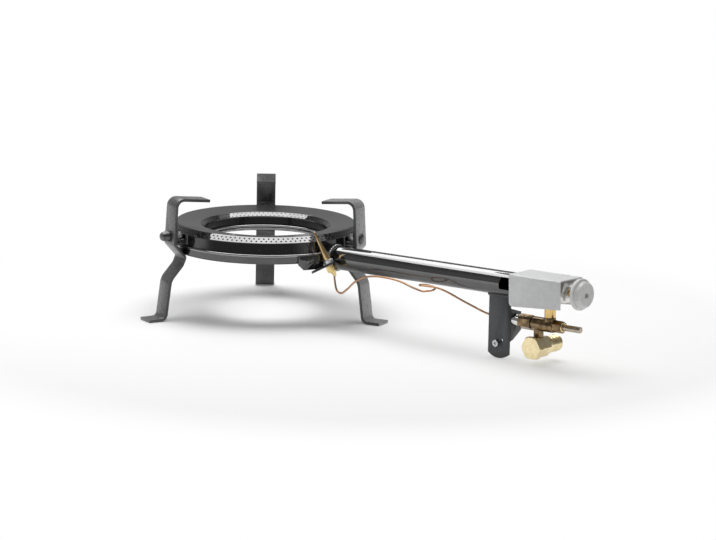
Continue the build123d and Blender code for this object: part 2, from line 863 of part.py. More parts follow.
# Knob and the screw that holds it on the spindle
knob_face = knob_back + knob_height
screw_seat = knob_face - knob_hole_depth
with BuildPart() as knob:
    rim = [
        (flat_start, knob_hub_radius),
        (knob_back, knob_hub_radius),
        (knob_back, knob_skirt_radius - 0.4),
        (knob_back + 0.4, knob_skirt_radius),
        (knob_back + knob_skirt_height - 0.6, knob_skirt_radius),
        (knob_back + knob_skirt_height, knob_skirt_radius - 0.6),
        (knob_back + knob_skirt_height, knob_grip_radius),
        (knob_face - 0.8, knob_face_radius),
        (knob_face, knob_face_radius - 0.8),
    ]
    revolve(disc_profile(rim, side_plane()), axis=tube_line)
    with BuildSketch(station(flat_start)):
        Circle(spindle_radius + running_gap)
        with Locations((0, flat_height + running_gap + spindle_radius)):
            Rectangle(4 * spindle_radius, 2 * spindle_radius, mode=Mode.SUBTRACT)
    extrude(amount=spindle_end + 0.3 - flat_start, mode=Mode.SUBTRACT)
    with BuildSketch(station(flat_start)):
        Circle(1.7)
    extrude(amount=knob_face - flat_start, mode=Mode.SUBTRACT)
    with BuildSketch(station(screw_seat)):
        Circle(knob_hole_radius)
    extrude(amount=knob_hole_depth, mode=Mode.SUBTRACT)
save(knob, "knob")

with BuildPart() as knob_screw:
    head = [
        (flat_start + 2, 1.5),
        (screw_seat, 1.5),
        (screw_seat, 2.5),
        (screw_seat + 1.3, 2.5),
        (screw_seat + 1.8, 1.8),
    ]
    revolve(disc_profile(head, side_plane()), axis=tube_line)
    with BuildSketch(station(screw_seat + 0.9)):
        Rectangle(3.0, 0.7)
        Rectangle(0.7, 3.0)
    extrude(amount=2, mode=Mode.SUBTRACT)
save(knob_screw, "knob_screw")

# Cover over the tap: a sheet folded over it, open below and at both ends, held by two screws at the back
with BuildPart() as tap_cover:
    half = cover_width / 2
    with BuildSketch(station(cover_start)):
        with BuildLine():
            FilletPolyline(
                (-half, -2 * cover_drop_start),
                (-half, cover_top),
                (half, cover_top),
                (half, -2 * cover_drop_start),
                radius=cover_bend_radius,
            )
            offset(amount=cover_sheet, side=Side.RIGHT)
        make_face()
    extrude(amount=cover_length)
    with BuildSketch(side_plane()) as outline:
        with BuildLine():
            Polyline(
                (cover_start, cover_top),
                (cover_start, -cover_drop_start),
                (cover_start + cover_length, -cover_drop_end),
                (cover_start + cover_length, cover_top),
                close=True,
            )
        make_face()
        fillet(outline.vertices().sort_by(Axis.Y)[:2].sort_by(Axis.X)[0], radius=cover_corner_radius)
    extrude(amount=cover_width, both=True, mode=Mode.INTERSECT)
    cover_roof = Plane(
        origin=station(0, 0, cover_top).origin,
        x_dir=tube_axis.z_dir,
        z_dir=tube_axis.y_dir,
    )
    with BuildSketch(cover_roof):
        with Locations((cover_slot_start + cover_slot_length / 2, half - cover_slot_inset)):
            SlotOverall(cover_slot_length, cover_slot_width)
    extrude(amount=-2 * cover_sheet, mode=Mode.SUBTRACT)
    for along in cover_screws_along:
        with BuildSketch(cross_plane(along, half, cover_screw_up)):
            Circle(cover_screw_radius + bolt_clearance)
        extrude(amount=-2 * cover_sheet, mode=Mode.SUBTRACT)
save(tap_cover, "tap_cover")

with BuildPart() as cover_screws:
    for along in cover_screws_along:
        with BuildSketch(cross_plane(along, half, cover_screw_up)):
            Circle(cover_screw_radius)
        extrude(amount=-cover_screw_length)
        with BuildSketch(cross_plane(along, half, cover_screw_up)):
            Circle(cover_screw_head_radius)
        extrude(amount=cover_screw_head_height, taper=18)
save(cover_screws, "cover_screws")

# Gas inlet: a block across the tube with a plug in front and a threaded nipple at the back
block_end = inlet_block_start + inlet_block_length
with BuildPart() as inlet_block:
    add(hexagon_bar(block_plane.offset(inlet_block_start), inlet_block_flats, inlet_block_length, 0))
    with BuildSketch(block_plane):
        Circle(inlet_bore_radius)
    extrude(amount=block_end, mode=Mode.SUBTRACT)
    for start, depth in ((inlet_block_start, 1), (block_end, -1)):
        with BuildSketch(block_plane.offset(start)):
            Circle(inlet_thread_radius + thread_gap)
        extrude(amount=depth * (inlet_thread_length + 0.3), mode=Mode.SUBTRACT)
    with BuildSketch(neck_plane.offset(neck_length)):
        Circle(neck_thread_radius + thread_gap)
    extrude(amount=neck_thread_length + 0.2, mode=Mode.SUBTRACT)
    with BuildSketch(neck_plane.offset(neck_length)):
        Circle(neck_way_radius)
    extrude(amount=block_half, mode=Mode.SUBTRACT)
save(inlet_block, "inlet_block")

cap_end = inlet_block_start - washer_gap
with BuildPart() as inlet_plug:
    add(hexagon_bar(block_plane.offset(cap_end - cap_length), cap_flats, cap_length, 0, 1.2))
    with BuildSketch(block_plane.offset(cap_end - 1)):
        Circle(inlet_thread_radius)
    extrude(amount=1 + washer_gap + inlet_thread_length)
save(inlet_plug, "inlet_plug")

collar_face = block_end + washer_gap
with BuildPart() as inlet_nipple:
    thread_end = collar_face + nipple_collar_length + nipple_thread_length
    reaches = [
        (block_end - inlet_thread_length, inlet_thread_radius),
        (collar_face, inlet_thread_radius),
        (collar_face, nipple_collar_radius),
        (collar_face + nipple_collar_length, nipple_collar_radius),
        (collar_face + nipple_collar_length, nipple_thread_radius),
        (thread_end - 0.8, nipple_thread_radius),
        (thread_end, nipple_thread_radius - 0.8),
    ]
    revolve(disc_profile(reaches, block_side), axis=block_line)
    with BuildSketch(block_plane):
        Circle(nipple_bore_radius)
    extrude(amount=thread_end, mode=Mode.SUBTRACT)
save(inlet_nipple, "inlet_nipple")

with BuildPart() as inlet_washers:
    for start in (cap_end, block_end):
        with BuildSketch(block_plane.offset(start)):
            Circle(nipple_collar_radius - 0.4)
            Circle(inlet_thread_radius + 2 * thread_gap, mode=Mode.SUBTRACT)
        extrude(amount=washer_gap)
save(inlet_washers, "inlet_washers")

# Foot bracket under the tube: a plate in line with the tube whose end is folded back to hold the valve
flange_drop = tube_root_height - flange_bottom
fold_low_x = ring_wall_radius + (flange_end + flange_drop * sin(tube_rise)) / cos(tube_rise)
fold_top_x = ring_wall_radius + (flange_end - tube_radius * sin(tube_rise)) / cos(tube_rise)
bracket_middle = (bracket_left + bracket_right) / 2
bracket_top = tube_root_height + tube_radius
toe_rise = bracket_toe_radius - (bracket_toe_radius ** 2 - (bracket_right - bracket_middle) ** 2) ** 0.5
with BuildPart() as valve_bracket:
    fold_plane = Plane(
        origin=station(0, 0, -2 * inlet_down).origin,
        x_dir=tube_axis.z_dir,
        z_dir=tube_axis.y_dir,
    )
    with BuildSketch(fold_plane):
        with BuildLine():
            FilletPolyline(
                (bracket_left - 2 * ring_wall_radius, -bracket_sheet),
                (flange_end, -bracket_sheet),
                (flange_end, flange_reach),
                radius=bracket_sheet + 0.5,
            )
            offset(amount=bracket_sheet, side=Side.LEFT)
        make_face()
    extrude(amount=4 * inlet_down)
    with BuildSketch(Plane.XZ):
        with BuildLine():
            Polyline(
                (bracket_left, toe_rise),
                (bracket_left, bracket_top),
                (fold_top_x, bracket_top),
                (fold_low_x, flange_bottom),
                (bracket_right, flange_bottom - 2),
                (bracket_right, toe_rise),
            )
            ThreePointArc((bracket_right, toe_rise), (bracket_middle, 0), (bracket_left, toe_rise))
        make_face()
    extrude(amount=2 * flange_reach, both=True, mode=Mode.INTERSECT)
    with BuildSketch(Plane.YZ):
        with BuildLine():
            Polyline(
                (-bracket_sheet, -1),
                (-bracket_sheet, bracket_top),
                (0, bracket_top),
                (0, flange_top),
                (flange_reach, flange_top_end),
                (flange_reach, flange_low_end),
                (2, flange_bottom),
                (0, flange_bottom),
                (0, -1),
                close=True,
            )
        make_face()
    extrude(amount=2 * bracket_right, mode=Mode.INTERSECT)
    with BuildSketch(station(0)):
        Circle(tube_radius)
    extrude(amount=tube_length, mode=Mode.SUBTRACT)
    with BuildSketch(station(flange_start - 2, valve_across, valve_up)):
        Circle(shank_radius + bolt_clearance)
    extrude(amount=bracket_sheet + 4, mode=Mode.SUBTRACT)
    foot_holes = [(screw_place, screw_radius + bolt_clearance), (spare_hole_place, spare_hole_radius)]
    for place, hole_radius in foot_holes:
        with BuildSketch(Plane.XZ.offset(-flange_reach)):
            with Locations(place):
                Circle(hole_radius)
        extrude(amount=2 * flange_reach, mode=Mode.SUBTRACT)
save(valve_bracket, "valve_bracket")

screw_x, screw_z = screw_place
screw_front = Plane(origin=(screw_x, -bracket_sheet, screw_z), x_dir=(1, 0, 0), z_dir=(0, -1, 0))
screw_back = Plane(origin=(screw_x, 0, screw_z), x_dir=(1, 0, 0), z_dir=(0, 1, 0))
with BuildPart() as bracket_screw:
    with BuildSketch(screw_front):
        Circle(screw_head_radius)
    extrude(amount=screw_head_height)
    with BuildSketch(screw_front):
        Circle(screw_radius)
    extrude(amount=-(bracket_sheet + screw_nut_thickness + 1.6))
    with BuildSketch(screw_front.offset(screw_head_height - 1.4)):
        RegularPolygon(radius=1.45, side_count=6)
    extrude(amount=3, mode=Mode.SUBTRACT)
save(bracket_screw, "bracket_screw")

with BuildPart() as bracket_nut:
    add(hexagon_bar(screw_back, screw_nut_flats, screw_nut_thickness))
    with BuildSketch(screw_back):
        Circle(screw_radius + thread_gap)
    extrude(amount=screw_nut_thickness, mode=Mode.SUBTRACT)
save(bracket_nut, "bracket_nut")

# Flame probe: a tab on the tray's rim, the probe through its shelf, the nuts on it and the lead to the valve
probe_line = (probe_tip - probe_seat).normalized()
probe_run = (probe_tip - probe_seat).length
shelf_aim = Vector(95.1, -32.1, 59.5) - probe_seat
shelf_dir = (shelf_aim - probe_line * shelf_aim.dot(probe_line)).normalized()


def probe_station(along):
    """A plane square to the probe, its x pointing back to the rim."""
    return Plane(origin=probe_seat + probe_line * along, x_dir=shelf_dir, z_dir=probe_line)


probe_side = Plane(origin=probe_seat, x_dir=probe_line, z_dir=shelf_dir)
probe_middle = Axis(probe_seat, probe_line)
with BuildPart() as probe_tab:
    first, last = radians(tab_from), radians(tab_to)
    with BuildSketch(Plane.XY.offset(tab_low)):
        Circle(tray_rim_radius + tab_sheet)
        Circle(tray_rim_radius, mode=Mode.SUBTRACT)
        wedge = [(0, 0), (200 * cos(first), 200 * sin(first)), (200 * cos(last), 200 * sin(last))]
        add(filled(wedge, Plane.XY), mode=Mode.INTERSECT)
    extrude(amount=tab_height)
    corner_plane = Plane(
        origin=(tray_rim_radius * cos(first), tray_rim_radius * sin(first), tab_low),
        x_dir=(-sin(first), cos(first), 0),
        z_dir=(cos(first), sin(first), 0),
    )
    with BuildSketch(corner_plane):
        add(filled([(-3, -3), (9, -3), (-3, 8)], Plane.XY))
    extrude(amount=3 * tab_sheet, both=True, mode=Mode.SUBTRACT)
    with BuildSketch(probe_station(-tab_sheet / 2)):
        with Locations(((shelf_inward - shelf_outward) / 2, 0)):
            RectangleRounded(shelf_inward + shelf_outward, shelf_width, 3)
    extrude(amount=tab_sheet)
    with BuildSketch():
        Circle(tray_rim_radius)
    extrude(amount=ring_top, mode=Mode.SUBTRACT)
    with BuildSketch(probe_station(-tab_sheet)):
        Circle(probe_thread_radius + bolt_clearance)
    extrude(amount=2 * tab_sheet, mode=Mode.SUBTRACT)
save(probe_tab, "probe_tab")

thread_low = -5.0
thread_high = tab_sheet / 2 + lock_nut_thickness + 1.4
with BuildPart() as flame_probe:
    body = [
        (thread_low, probe_thread_radius),
        (thread_high, probe_thread_radius),
        (thread_high, probe_radius),
        (probe_run - probe_radius, probe_radius),
        (probe_run - 0.29 * probe_radius, 0.7 * probe_radius),
        (probe_run, 0.2 * probe_radius),
    ]
    revolve(disc_profile(body, probe_side), axis=probe_middle)
    with BuildSketch(probe_station(thread_low)):
        Circle(lead_radius + running_gap)
    extrude(amount=2, mode=Mode.SUBTRACT)
save(flame_probe, "flame_probe")

with BuildPart() as probe_lock_nut:
    add(hexagon_bar(probe_station(tab_sheet / 2), lock_nut_flats, lock_nut_thickness))
    with BuildSketch(probe_station(tab_sheet / 2)):
        Circle(probe_thread_radius + thread_gap)
    extrude(amount=lock_nut_thickness, mode=Mode.SUBTRACT)
save(probe_lock_nut, "probe_lock_nut")

gland_low = -tab_sheet / 2 - gland_nut_length
with BuildPart() as probe_gland_nut:
    add(hexagon_bar(probe_station(gland_low), gland_nut_flats, gland_nut_length))
    inside = [
        (gland_low, lead_radius + running_gap),
        (thread_low - 0.5, lead_radius + running_gap),
        (thread_low - 0.5, probe_thread_radius + thread_gap),
        (-tab_sheet / 2, probe_thread_radius + thread_gap),
    ]
    revolve(disc_profile(inside, probe_side), axis=probe_middle, mode=Mode.SUBTRACT)
save(probe_gland_nut, "probe_gland_nut")

lead_start = probe_seat + probe_line * (thread_low + 1.5)
lead_leave = probe_seat + probe_line * (gland_low - 2.5)
lead_end = station(lead_nut_start + lead_nut_length - 0.5, valve_across, valve_up).origin
lead_enter = station(lead_nut_start - 4.0, valve_across, valve_up).origin
lead_before = station(lead_nut_start - 13.0, valve_across - 0.4, valve_up + 0.6).origin
loop_middle = (237.0, -18.6)
loop_radius = 8.0
loop_low = 58.0
loop_rise = 5.8
loop_steps = 12
route = [lead_start, lead_leave]
route += [
    Vector(113.6, -17.8, 47.5),
    Vector(116.5, -18.5, 39.5),
    Vector(123.5, -19.0, 37.0),
    Vector(131.5, -19.0, 43.0),
    Vector(141.0, -19.2, 52.0),
    Vector(152.0, -18.5, 58.5),
    Vector(166.0, -18.0, 61.8),
    Vector(184.0, -17.5, 62.6),
    Vector(202.0, -17.6, 61.3),
    Vector(217.0, -20.5, 58.8),
]
for number in range(loop_steps + 1):
    turn = -pi / 2 + 2 * pi * number / loop_steps
    loop_x = loop_middle[0] + loop_radius * cos(turn)
    loop_y = loop_middle[1] + loop_radius * sin(turn)
    route.append(Vector(loop_x, loop_y, loop_low + loop_rise * number / loop_steps))
route += [
    Vector(252.0, -21.5, 63.6),
    Vector(262.0, -14.5, 58.5),
    Vector(271.0, -7.5, 52.0),
    Vector(281.0, -1.0, 46.3),
    Vector(291.0, 3.2, 41.6),
    lead_before,
    lead_enter,
    lead_end,
]
lead_bends = []
for before, here, after in zip(route[:-2], route[1:-1], route[2:]):
    arrive, depart = here - before, after - here
    half_turn = radians(arrive.get_angle(depart)) / 2
    lead_bends.append(0.45 * min(arrive.length, depart.length) / tan(half_turn))

with BuildPart() as thermocouple_lead:
    with BuildLine() as path:
        FilletPolyline(*route, radius=lead_bends)
    with BuildSketch(Plane(origin=path.line @ 0, z_dir=path.line % 0)):
        Circle(lead_radius)
    sweep(path=path.line)
save(thermocouple_lead, "thermocouple_lead")
print("lead bends", [round(bend, 1) for bend in lead_bends])
lead_ideal = sum(piece.length for piece in path.edges()) * pi * lead_radius ** 2
print("lead volume", round(thermocouple_lead.part.volume, 2), "section times length", round(lead_ideal, 2))
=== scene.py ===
import bpy, bmesh
from math import sin, cos, pi, radians
from mathutils import Vector, Matrix


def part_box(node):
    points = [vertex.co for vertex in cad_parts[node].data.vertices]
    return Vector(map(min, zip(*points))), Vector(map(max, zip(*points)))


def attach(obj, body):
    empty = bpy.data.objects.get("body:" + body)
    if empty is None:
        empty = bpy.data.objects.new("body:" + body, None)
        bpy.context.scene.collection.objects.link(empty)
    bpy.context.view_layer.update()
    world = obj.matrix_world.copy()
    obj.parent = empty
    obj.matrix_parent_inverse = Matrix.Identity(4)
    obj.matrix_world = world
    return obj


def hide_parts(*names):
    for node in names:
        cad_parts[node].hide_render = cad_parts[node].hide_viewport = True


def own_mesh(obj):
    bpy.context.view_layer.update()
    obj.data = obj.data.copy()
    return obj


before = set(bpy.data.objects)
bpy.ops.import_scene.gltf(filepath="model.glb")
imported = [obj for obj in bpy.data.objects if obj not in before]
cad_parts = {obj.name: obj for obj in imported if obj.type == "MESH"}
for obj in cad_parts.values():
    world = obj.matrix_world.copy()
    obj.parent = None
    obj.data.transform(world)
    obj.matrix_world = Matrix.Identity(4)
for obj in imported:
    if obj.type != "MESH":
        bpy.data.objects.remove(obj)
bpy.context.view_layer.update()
scene = bpy.context.scene
scene.view_settings.view_transform = "Standard"


# Camera
# Low view from the tap's front side, 3.5 m off with a long lens, as a catalogue picture is taken. The
# first three angles aim it at the burner, and the last turns that view round to the tap's front side.
yaw, pitch, roll, round_burner = 0.027892, 0.196675, -0.019506, radians(43)
camera_place = (2.3635, -2.5346, 0.7333)
focal_pixels, picture_pixels, sensor_mm = 3400, 716, 36
ahead = Vector((sin(yaw) * cos(pitch), cos(yaw) * cos(pitch), -sin(pitch)))
right = Vector((cos(yaw), -sin(yaw), 0))
down = ahead.cross(right)
right, down = cos(roll) * right + sin(roll) * down, cos(roll) * down - sin(roll) * right
level = Matrix.Rotation(round_burner, 3, "Z")
right, down, ahead = level @ right, level @ down, level @ ahead
lens = bpy.data.cameras.new("camera")
lens.lens, lens.sensor_width = focal_pixels * sensor_mm / picture_pixels, sensor_mm
lens.clip_start, lens.clip_end = 0.1, 60
camera = bpy.data.objects.new("camera", lens)
facing = Matrix((right, -down, -ahead)).transposed().to_4x4()
camera.matrix_world = Matrix.Translation(camera_place) @ facing
scene.collection.objects.link(camera)
scene.camera = camera


# Floor and light
# A white sheet on the floor of a dim room, under three soft lamps: one over the burner, one behind it
# and a wide faint one. Near the burner the sheet is matt and takes its shadow, which painted light lifts
# by the legs and in the ring's hole, and it is white beyond.
def clear_tree(owner):
    """The empty node tree of a material or world."""
    owner.use_nodes = True
    owner.node_tree.nodes.clear()
    return owner.node_tree


def feed(tree, socket, value):
    """Gives a socket a value, or a link where the value is another node's socket."""
    if isinstance(value, bpy.types.NodeSocket):
        tree.links.new(value, socket)
    else:
        socket.default_value = value


def put(tree, kind, inputs=None, **settings):
    """Adds a node with its settings, and its inputs as values or as sockets of other nodes."""
    node = tree.nodes.new(kind)
    for name, value in settings.items():
        setattr(node, name, value)
    for name, value in (inputs or {}).items():
        feed(tree, node.inputs[name], value)
    return node


def maths(tree, operation, *values, clamp=False):
    """One sum on values or sockets."""
    inputs = dict(enumerate(values))
    return put(tree, "ShaderNodeMath", inputs, operation=operation, use_clamp=clamp).outputs[0]


def chain(tree, operation, *values):
    """The same sum carried on over several values."""
    total = values[0]
    for value in values[1:]:
        total = maths(tree, operation, total, value)
    return total


def vectors(tree, operation, *values, result="Value"):
    """One sum on vectors, whose result is a number or else the vector."""
    node = put(tree, "ShaderNodeVectorMath", dict(enumerate(values)), operation=operation)
    return node.outputs[result]


def eased_step(tree, value, low, high):
    """0 at low and 1 at high, with a smooth step between them, up or down."""
    return put(tree, "ShaderNodeMapRange", {"Value": value, "From Min": low, "From Max": high},
               interpolation_type="SMOOTHSTEP").outputs[0]


def hoop(radius, height, steps=240):
    """Points round the burner's middle line."""
    turns = [2 * pi * i / steps for i in range(steps)]
    return [(radius * cos(turn), radius * sin(turn), height) for turn in turns]


def stand(name, mesh):
    """An object in the scene for a mesh."""
    thing = bpy.data.objects.new(name, mesh)
    scene.collection.objects.link(thing)
    return thing


def join_rings(bm, near, far):
    """A band of four-sided faces between two rings of points."""
    for i in range(len(near)):
        j = (i + 1) % len(near)
        bm.faces.new((near[i], near[j], far[j], far[i]))


floor_reaches, floor_height, floor_sides = (0.5, 2.0, 9.0), -0.0002, 64
bm = bmesh.new()
rings = [[bm.verts.new(point) for point in hoop(reach, floor_height, floor_sides)]
         for reach in floor_reaches]
bm.faces.new(rings[0])
for inner, outer in zip(rings, rings[1:]):
    join_rings(bm, outer, inner)
floor_mesh = bpy.data.meshes.new("floor")
bm.to_mesh(floor_mesh)
bm.free()
floor = stand("floor", floor_mesh)

# Seen by the camera or mirrored, the sheet is partly plain white by the legs and in the ring's hole,
# which is painted light over the shadow there, and wholly so beyond the part
part_middle, sheet_white, painted_light_by_legs, painted_light_in_hole = (0.12, 0, 0), 0.97, 0.46, 0.5
legs_edge, hole_edge, far_edge = (0.09, 0.19), (0.075, 0.03), (0.30, 0.50)
white_sheet = bpy.data.materials.new("white_sheet")
tree = clear_tree(white_sheet)
spot = put(tree, "ShaderNodeTexCoord").outputs["Object"]
way = put(tree, "ShaderNodeLightPath").outputs
mirrored = maths(tree, "ADD", way["Is Glossy Ray"], way["Is Transmission Ray"])
seen = maths(tree, "ADD", way["Is Camera Ray"], mirrored, clamp=True)
matt_white = (sheet_white, sheet_white, sheet_white, 1)
matt = put(tree, "ShaderNodeBsdfDiffuse", {"Color": matt_white}).outputs[0]
plain = put(tree, "ShaderNodeEmission", {"Color": (1, 1, 1, 1), "Strength": 1.0}).outputs[0]
from_ring = vectors(tree, "LENGTH", spot)
shadow_lift_by_legs = maths(tree, "MULTIPLY", eased_step(tree, from_ring, *legs_edge), painted_light_by_legs)
shadow_lift_in_hole = maths(tree, "MULTIPLY", eased_step(tree, from_ring, *hole_edge), painted_light_in_hole)
beyond = eased_step(tree, vectors(tree, "DISTANCE", spot, part_middle), *far_edge)
share = maths(tree, "MULTIPLY", chain(tree, "MAXIMUM", shadow_lift_by_legs, shadow_lift_in_hole, beyond), seen)
sheet = put(tree, "ShaderNodeMixShader", {0: share, 1: matt, 2: plain}).outputs[0]
put(tree, "ShaderNodeOutputMaterial", {"Surface": sheet})
floor_mesh.materials.append(white_sheet)

picture_right, rearward = Vector((0.750, 0.661, 0)), Vector((-0.682, 0.731, 0))
wall_light, wall_change, ceiling_light, ceiling_edge = 0.23, 0.05, 0.09, (0.28, 0.75)
room = bpy.data.worlds.new("room")
scene.world = room
tree = clear_tree(room)
sky = put(tree, "ShaderNodeTexCoord").outputs["Generated"]
rear_share = vectors(tree, "DOT_PRODUCT", sky, rearward)
low_light = maths(tree, "MULTIPLY_ADD", rear_share, wall_change, wall_light)
sky_height = put(tree, "ShaderNodeSeparateXYZ", {"Vector": sky}).outputs[2]
overhead = eased_step(tree, sky_height, *ceiling_edge)
glow = put(tree, "ShaderNodeMix", {0: overhead, 2: low_light, 3: ceiling_light}).outputs[0]
background = put(tree, "ShaderNodeBackground", {"Color": (1, 1, 1, 1), "Strength": glow})
put(tree, "ShaderNodeOutputWorld", {"Surface": background.outputs[0]})


def soft_lamp(name, long, wide, radiance, sideways, back, height, turn=0):
    """A level rectangle of light, placed in metres across and into the picture and turned in degrees."""
    picture_heading = 41.4
    lamp = bpy.data.lights.new(name, "AREA")
    lamp.shape, lamp.size, lamp.size_y = "RECTANGLE", long, wide
    lamp.energy = radiance * pi * long * wide
    box = bpy.data.objects.new(name, lamp)
    middle = picture_right * sideways + rearward * back + Vector((0, 0, height))
    facing = Matrix.Rotation(radians(picture_heading + turn), 4, "Z")
    box.matrix_world = Matrix.Translation(middle) @ facing
    scene.collection.objects.link(box)


soft_lamp("lamp_over", 1.60, 0.80, radiance=3.3, sideways=-0.08, back=0.04, height=1.2)
soft_lamp("lamp_behind", 1.05, 0.42, radiance=4.2, sideways=-0.38, back=0.92, height=1.2, turn=64)
soft_lamp("lamp_wide", 1.7, 1.5, radiance=0.42, sideways=0.35, back=0.1, height=1.3)


# Burner ring
# A pressed steel top with two bevels of flame ports over a pressed tray, their edges rolled together,
# dipped and fired in gloss black enamel. Flame heat has dulled its walls in patches, and its flat top,
# and the front of its outer wall is dulled further as painted shade.
def node_group(name, kind, inputs, outputs):
    """A node group with named sockets, and the sockets that its own nodes start from and end in."""
    group = bpy.data.node_groups.new(name, kind)
    for label, socket_kind, *value in inputs:
        socket = group.interface.new_socket(name=label, in_out="INPUT", socket_type=socket_kind)
        if value:
            socket.default_value = value[0]
    for label, socket_kind in outputs:
        group.interface.new_socket(name=label, in_out="OUTPUT", socket_type=socket_kind)
    start, end = group.nodes.new("NodeGroupInput"), group.nodes.new("NodeGroupOutput")
    return group, start.outputs, end.inputs


def use(tree, group, **inputs):
    """Places a group in a material's tree; an underscore in an input's name stands for a space."""
    node = put(tree, "ShaderNodeGroup", node_tree=group)
    for name, value in inputs.items():
        feed(tree, node.inputs[name.replace("_", " ")], value)
    return node.outputs


def noise(tree, place, scale, detail=3.0, roughness=0.5):
    """Soft noise with so many lumps to the metre."""
    return put(tree, "ShaderNodeTexNoise", {"Vector": place, "Scale": scale, "Detail": detail,
                                            "Roughness": roughness}).outputs["Fac"]


def mixed(tree, share, first, second):
    """Two colours mixed by a share, each a socket or its red, green and blue."""
    colours = {0: share}
    for index, colour in ((6, first), (7, second)):
        colours[index] = colour if isinstance(colour, bpy.types.NodeSocket) else (*colour, 1)
    return put(tree, "ShaderNodeMix", colours, data_type="RGBA").outputs[2]


number, colour_kind, place_kind = "NodeSocketFloat", "NodeSocketColor", "NodeSocketVector"

# Mottle: two colours and two roughnesses mixed by a soft noise of the given size
mottle, given, out = node_group(
    "mottle", "ShaderNodeTree",
    [("Place", place_kind, (0, 0, 0)), ("Size", number, 0.005),
     ("Colour A", colour_kind, (1, 1, 1, 1)), ("Colour B", colour_kind, (0, 0, 0, 1)),
     ("Low", number, 0.35), ("High", number, 0.65), ("Rough A", number, 0.2), ("Rough B", number, 0.4)],
    [("Colour", colour_kind), ("Roughness", number), ("Height", number)])
fineness = maths(mottle, "DIVIDE", 1.0, given["Size"])
grain = noise(mottle, given["Place"], fineness, 4.0, 0.55)
part = put(mottle, "ShaderNodeMapRange",
           {"Value": grain, "From Min": given["Low"], "From Max": given["High"]}).outputs[0]
feed(mottle, out["Colour"], mixed(mottle, part, given["Colour A"], given["Colour B"]))
rough = put(mottle, "ShaderNodeMix", {0: part, 2: given["Rough A"], 3: given["Rough B"]}).outputs[0]
feed(mottle, out["Roughness"], rough)
feed(mottle, out["Height"], grain)

# Specks: small scattered grains such as dust and pin holes
specks, given, out = node_group(
    "specks", "ShaderNodeTree",
    [("Place", place_kind, (0, 0, 0)), ("Spacing", number, 0.002), ("Size", number, 0.2),
     ("Share", number, 0.5)],
    [("Mask", number)])
closeness = maths(specks, "DIVIDE", 1.0, given["Spacing"])
cells = put(specks, "ShaderNodeTexVoronoi", {"Vector": given["Place"], "Scale": closeness}).outputs
chance = put(specks, "ShaderNodeSeparateColor", {"Color": cells["Color"]}).outputs[0]
chosen = maths(specks, "LESS_THAN", chance, given["Share"])
grains = maths(specks, "LESS_THAN", cells["Distance"], given["Size"])
feed(specks, out["Mask"], maths(specks, "MULTIPLY", chosen, grains))


def finish(name, colour, roughness, metallic=0.0, **fixed):
    """A material, its tree and its shader's sockets; an underscore in a socket's name is a space."""
    material = bpy.data.materials.new(name)
    tree = clear_tree(material)
    values = {"Base Color": (*colour, 1), "Roughness": roughness, "Metallic": metallic}
    values.update({label.replace("_", " "): value for label, value in fixed.items()})
    shader = put(tree, "ShaderNodeBsdfPrincipled", values)
    put(tree, "ShaderNodeOutputMaterial", {"Surface": shader.outputs[0]})
    return material, tree, shader.inputs


def here(tree):
    """The place on the part."""
    return put(tree, "ShaderNodeTexCoord").outputs["Object"]


def relief(tree, shader, height, depth, strength=1.0):
    """A bump of the given depth in metres."""
    bump = put(tree, "ShaderNodeBump", {"Height": height, "Distance": depth, "Strength": strength})
    feed(tree, shader["Normal"], bump.outputs[0])


def mottled(name, colour_a, colour_b, rough_a, rough_b, size, metallic=0.0, depth=0.0, **fixed):
    """A material whose colour and roughness drift a little over the surface."""
    material, tree, shader = finish(name, colour_a, rough_a, metallic, **fixed)
    skin = use(tree, mottle, Place=here(tree), Size=size, Colour_A=(*colour_a, 1),
               Colour_B=(*colour_b, 1), Rough_A=rough_a, Rough_B=rough_b)
    feed(tree, shader["Base Color"], skin["Colour"])
    feed(tree, shader["Roughness"], skin["Roughness"])
    if depth:
        relief(tree, shader, skin["Height"], depth)
    return material


def dress(material, *names):
    """Gives a material to CAD nodes that stay as they are."""
    for name in names:
        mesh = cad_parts[name].data
        mesh.materials.clear()
        mesh.materials.append(material)


black, dust_colour, burnt_black = (0.0045, 0.0045, 0.005), (0.11, 0.105, 0.1), (0.072, 0.072, 0.074)
black_enamel, tree, shader = finish("black_enamel", black, 0.3, Coat_Roughness=0.035, Coat_IOR=2.5,
                                    Specular_IOR_Level=0.15)
place = here(tree)
across = put(tree, "ShaderNodeSeparateXYZ", {"Vector": place}).outputs
reach = vectors(tree, "LENGTH", vectors(tree, "MULTIPLY", place, (1, 1, 0), result="Vector"))

# The ring's surfaces, by their distances from its middle line and their heights, in metres
wall_edge, wall_top, rim_reach = (0.0964, 0.0974), (0.0884, 0.0868), 0.0985
hole_reaches, hole_top = (0.055, 0.0655), (0.0862, 0.0852)
top_inner_edge, top_outer_edge, top_height = (0.0668, 0.0676), (0.0924, 0.0918), (0.086, 0.088)
outer_wall = chain(tree, "MULTIPLY", eased_step(tree, reach, *wall_edge),
                   eased_step(tree, across[2], *wall_top), maths(tree, "LESS_THAN", reach, rim_reach))
hole_wall = chain(tree, "MULTIPLY", maths(tree, "LESS_THAN", reach, hole_reaches[1]),
                  eased_step(tree, across[2], *hole_top),
                  maths(tree, "GREATER_THAN", reach, hole_reaches[0]))
flat_top = chain(tree, "MULTIPLY", eased_step(tree, reach, *top_inner_edge),
                 eased_step(tree, reach, *top_outer_edge), eased_step(tree, across[2], *top_height))
tray_rim = maths(tree, "GREATER_THAN", reach, rim_reach)
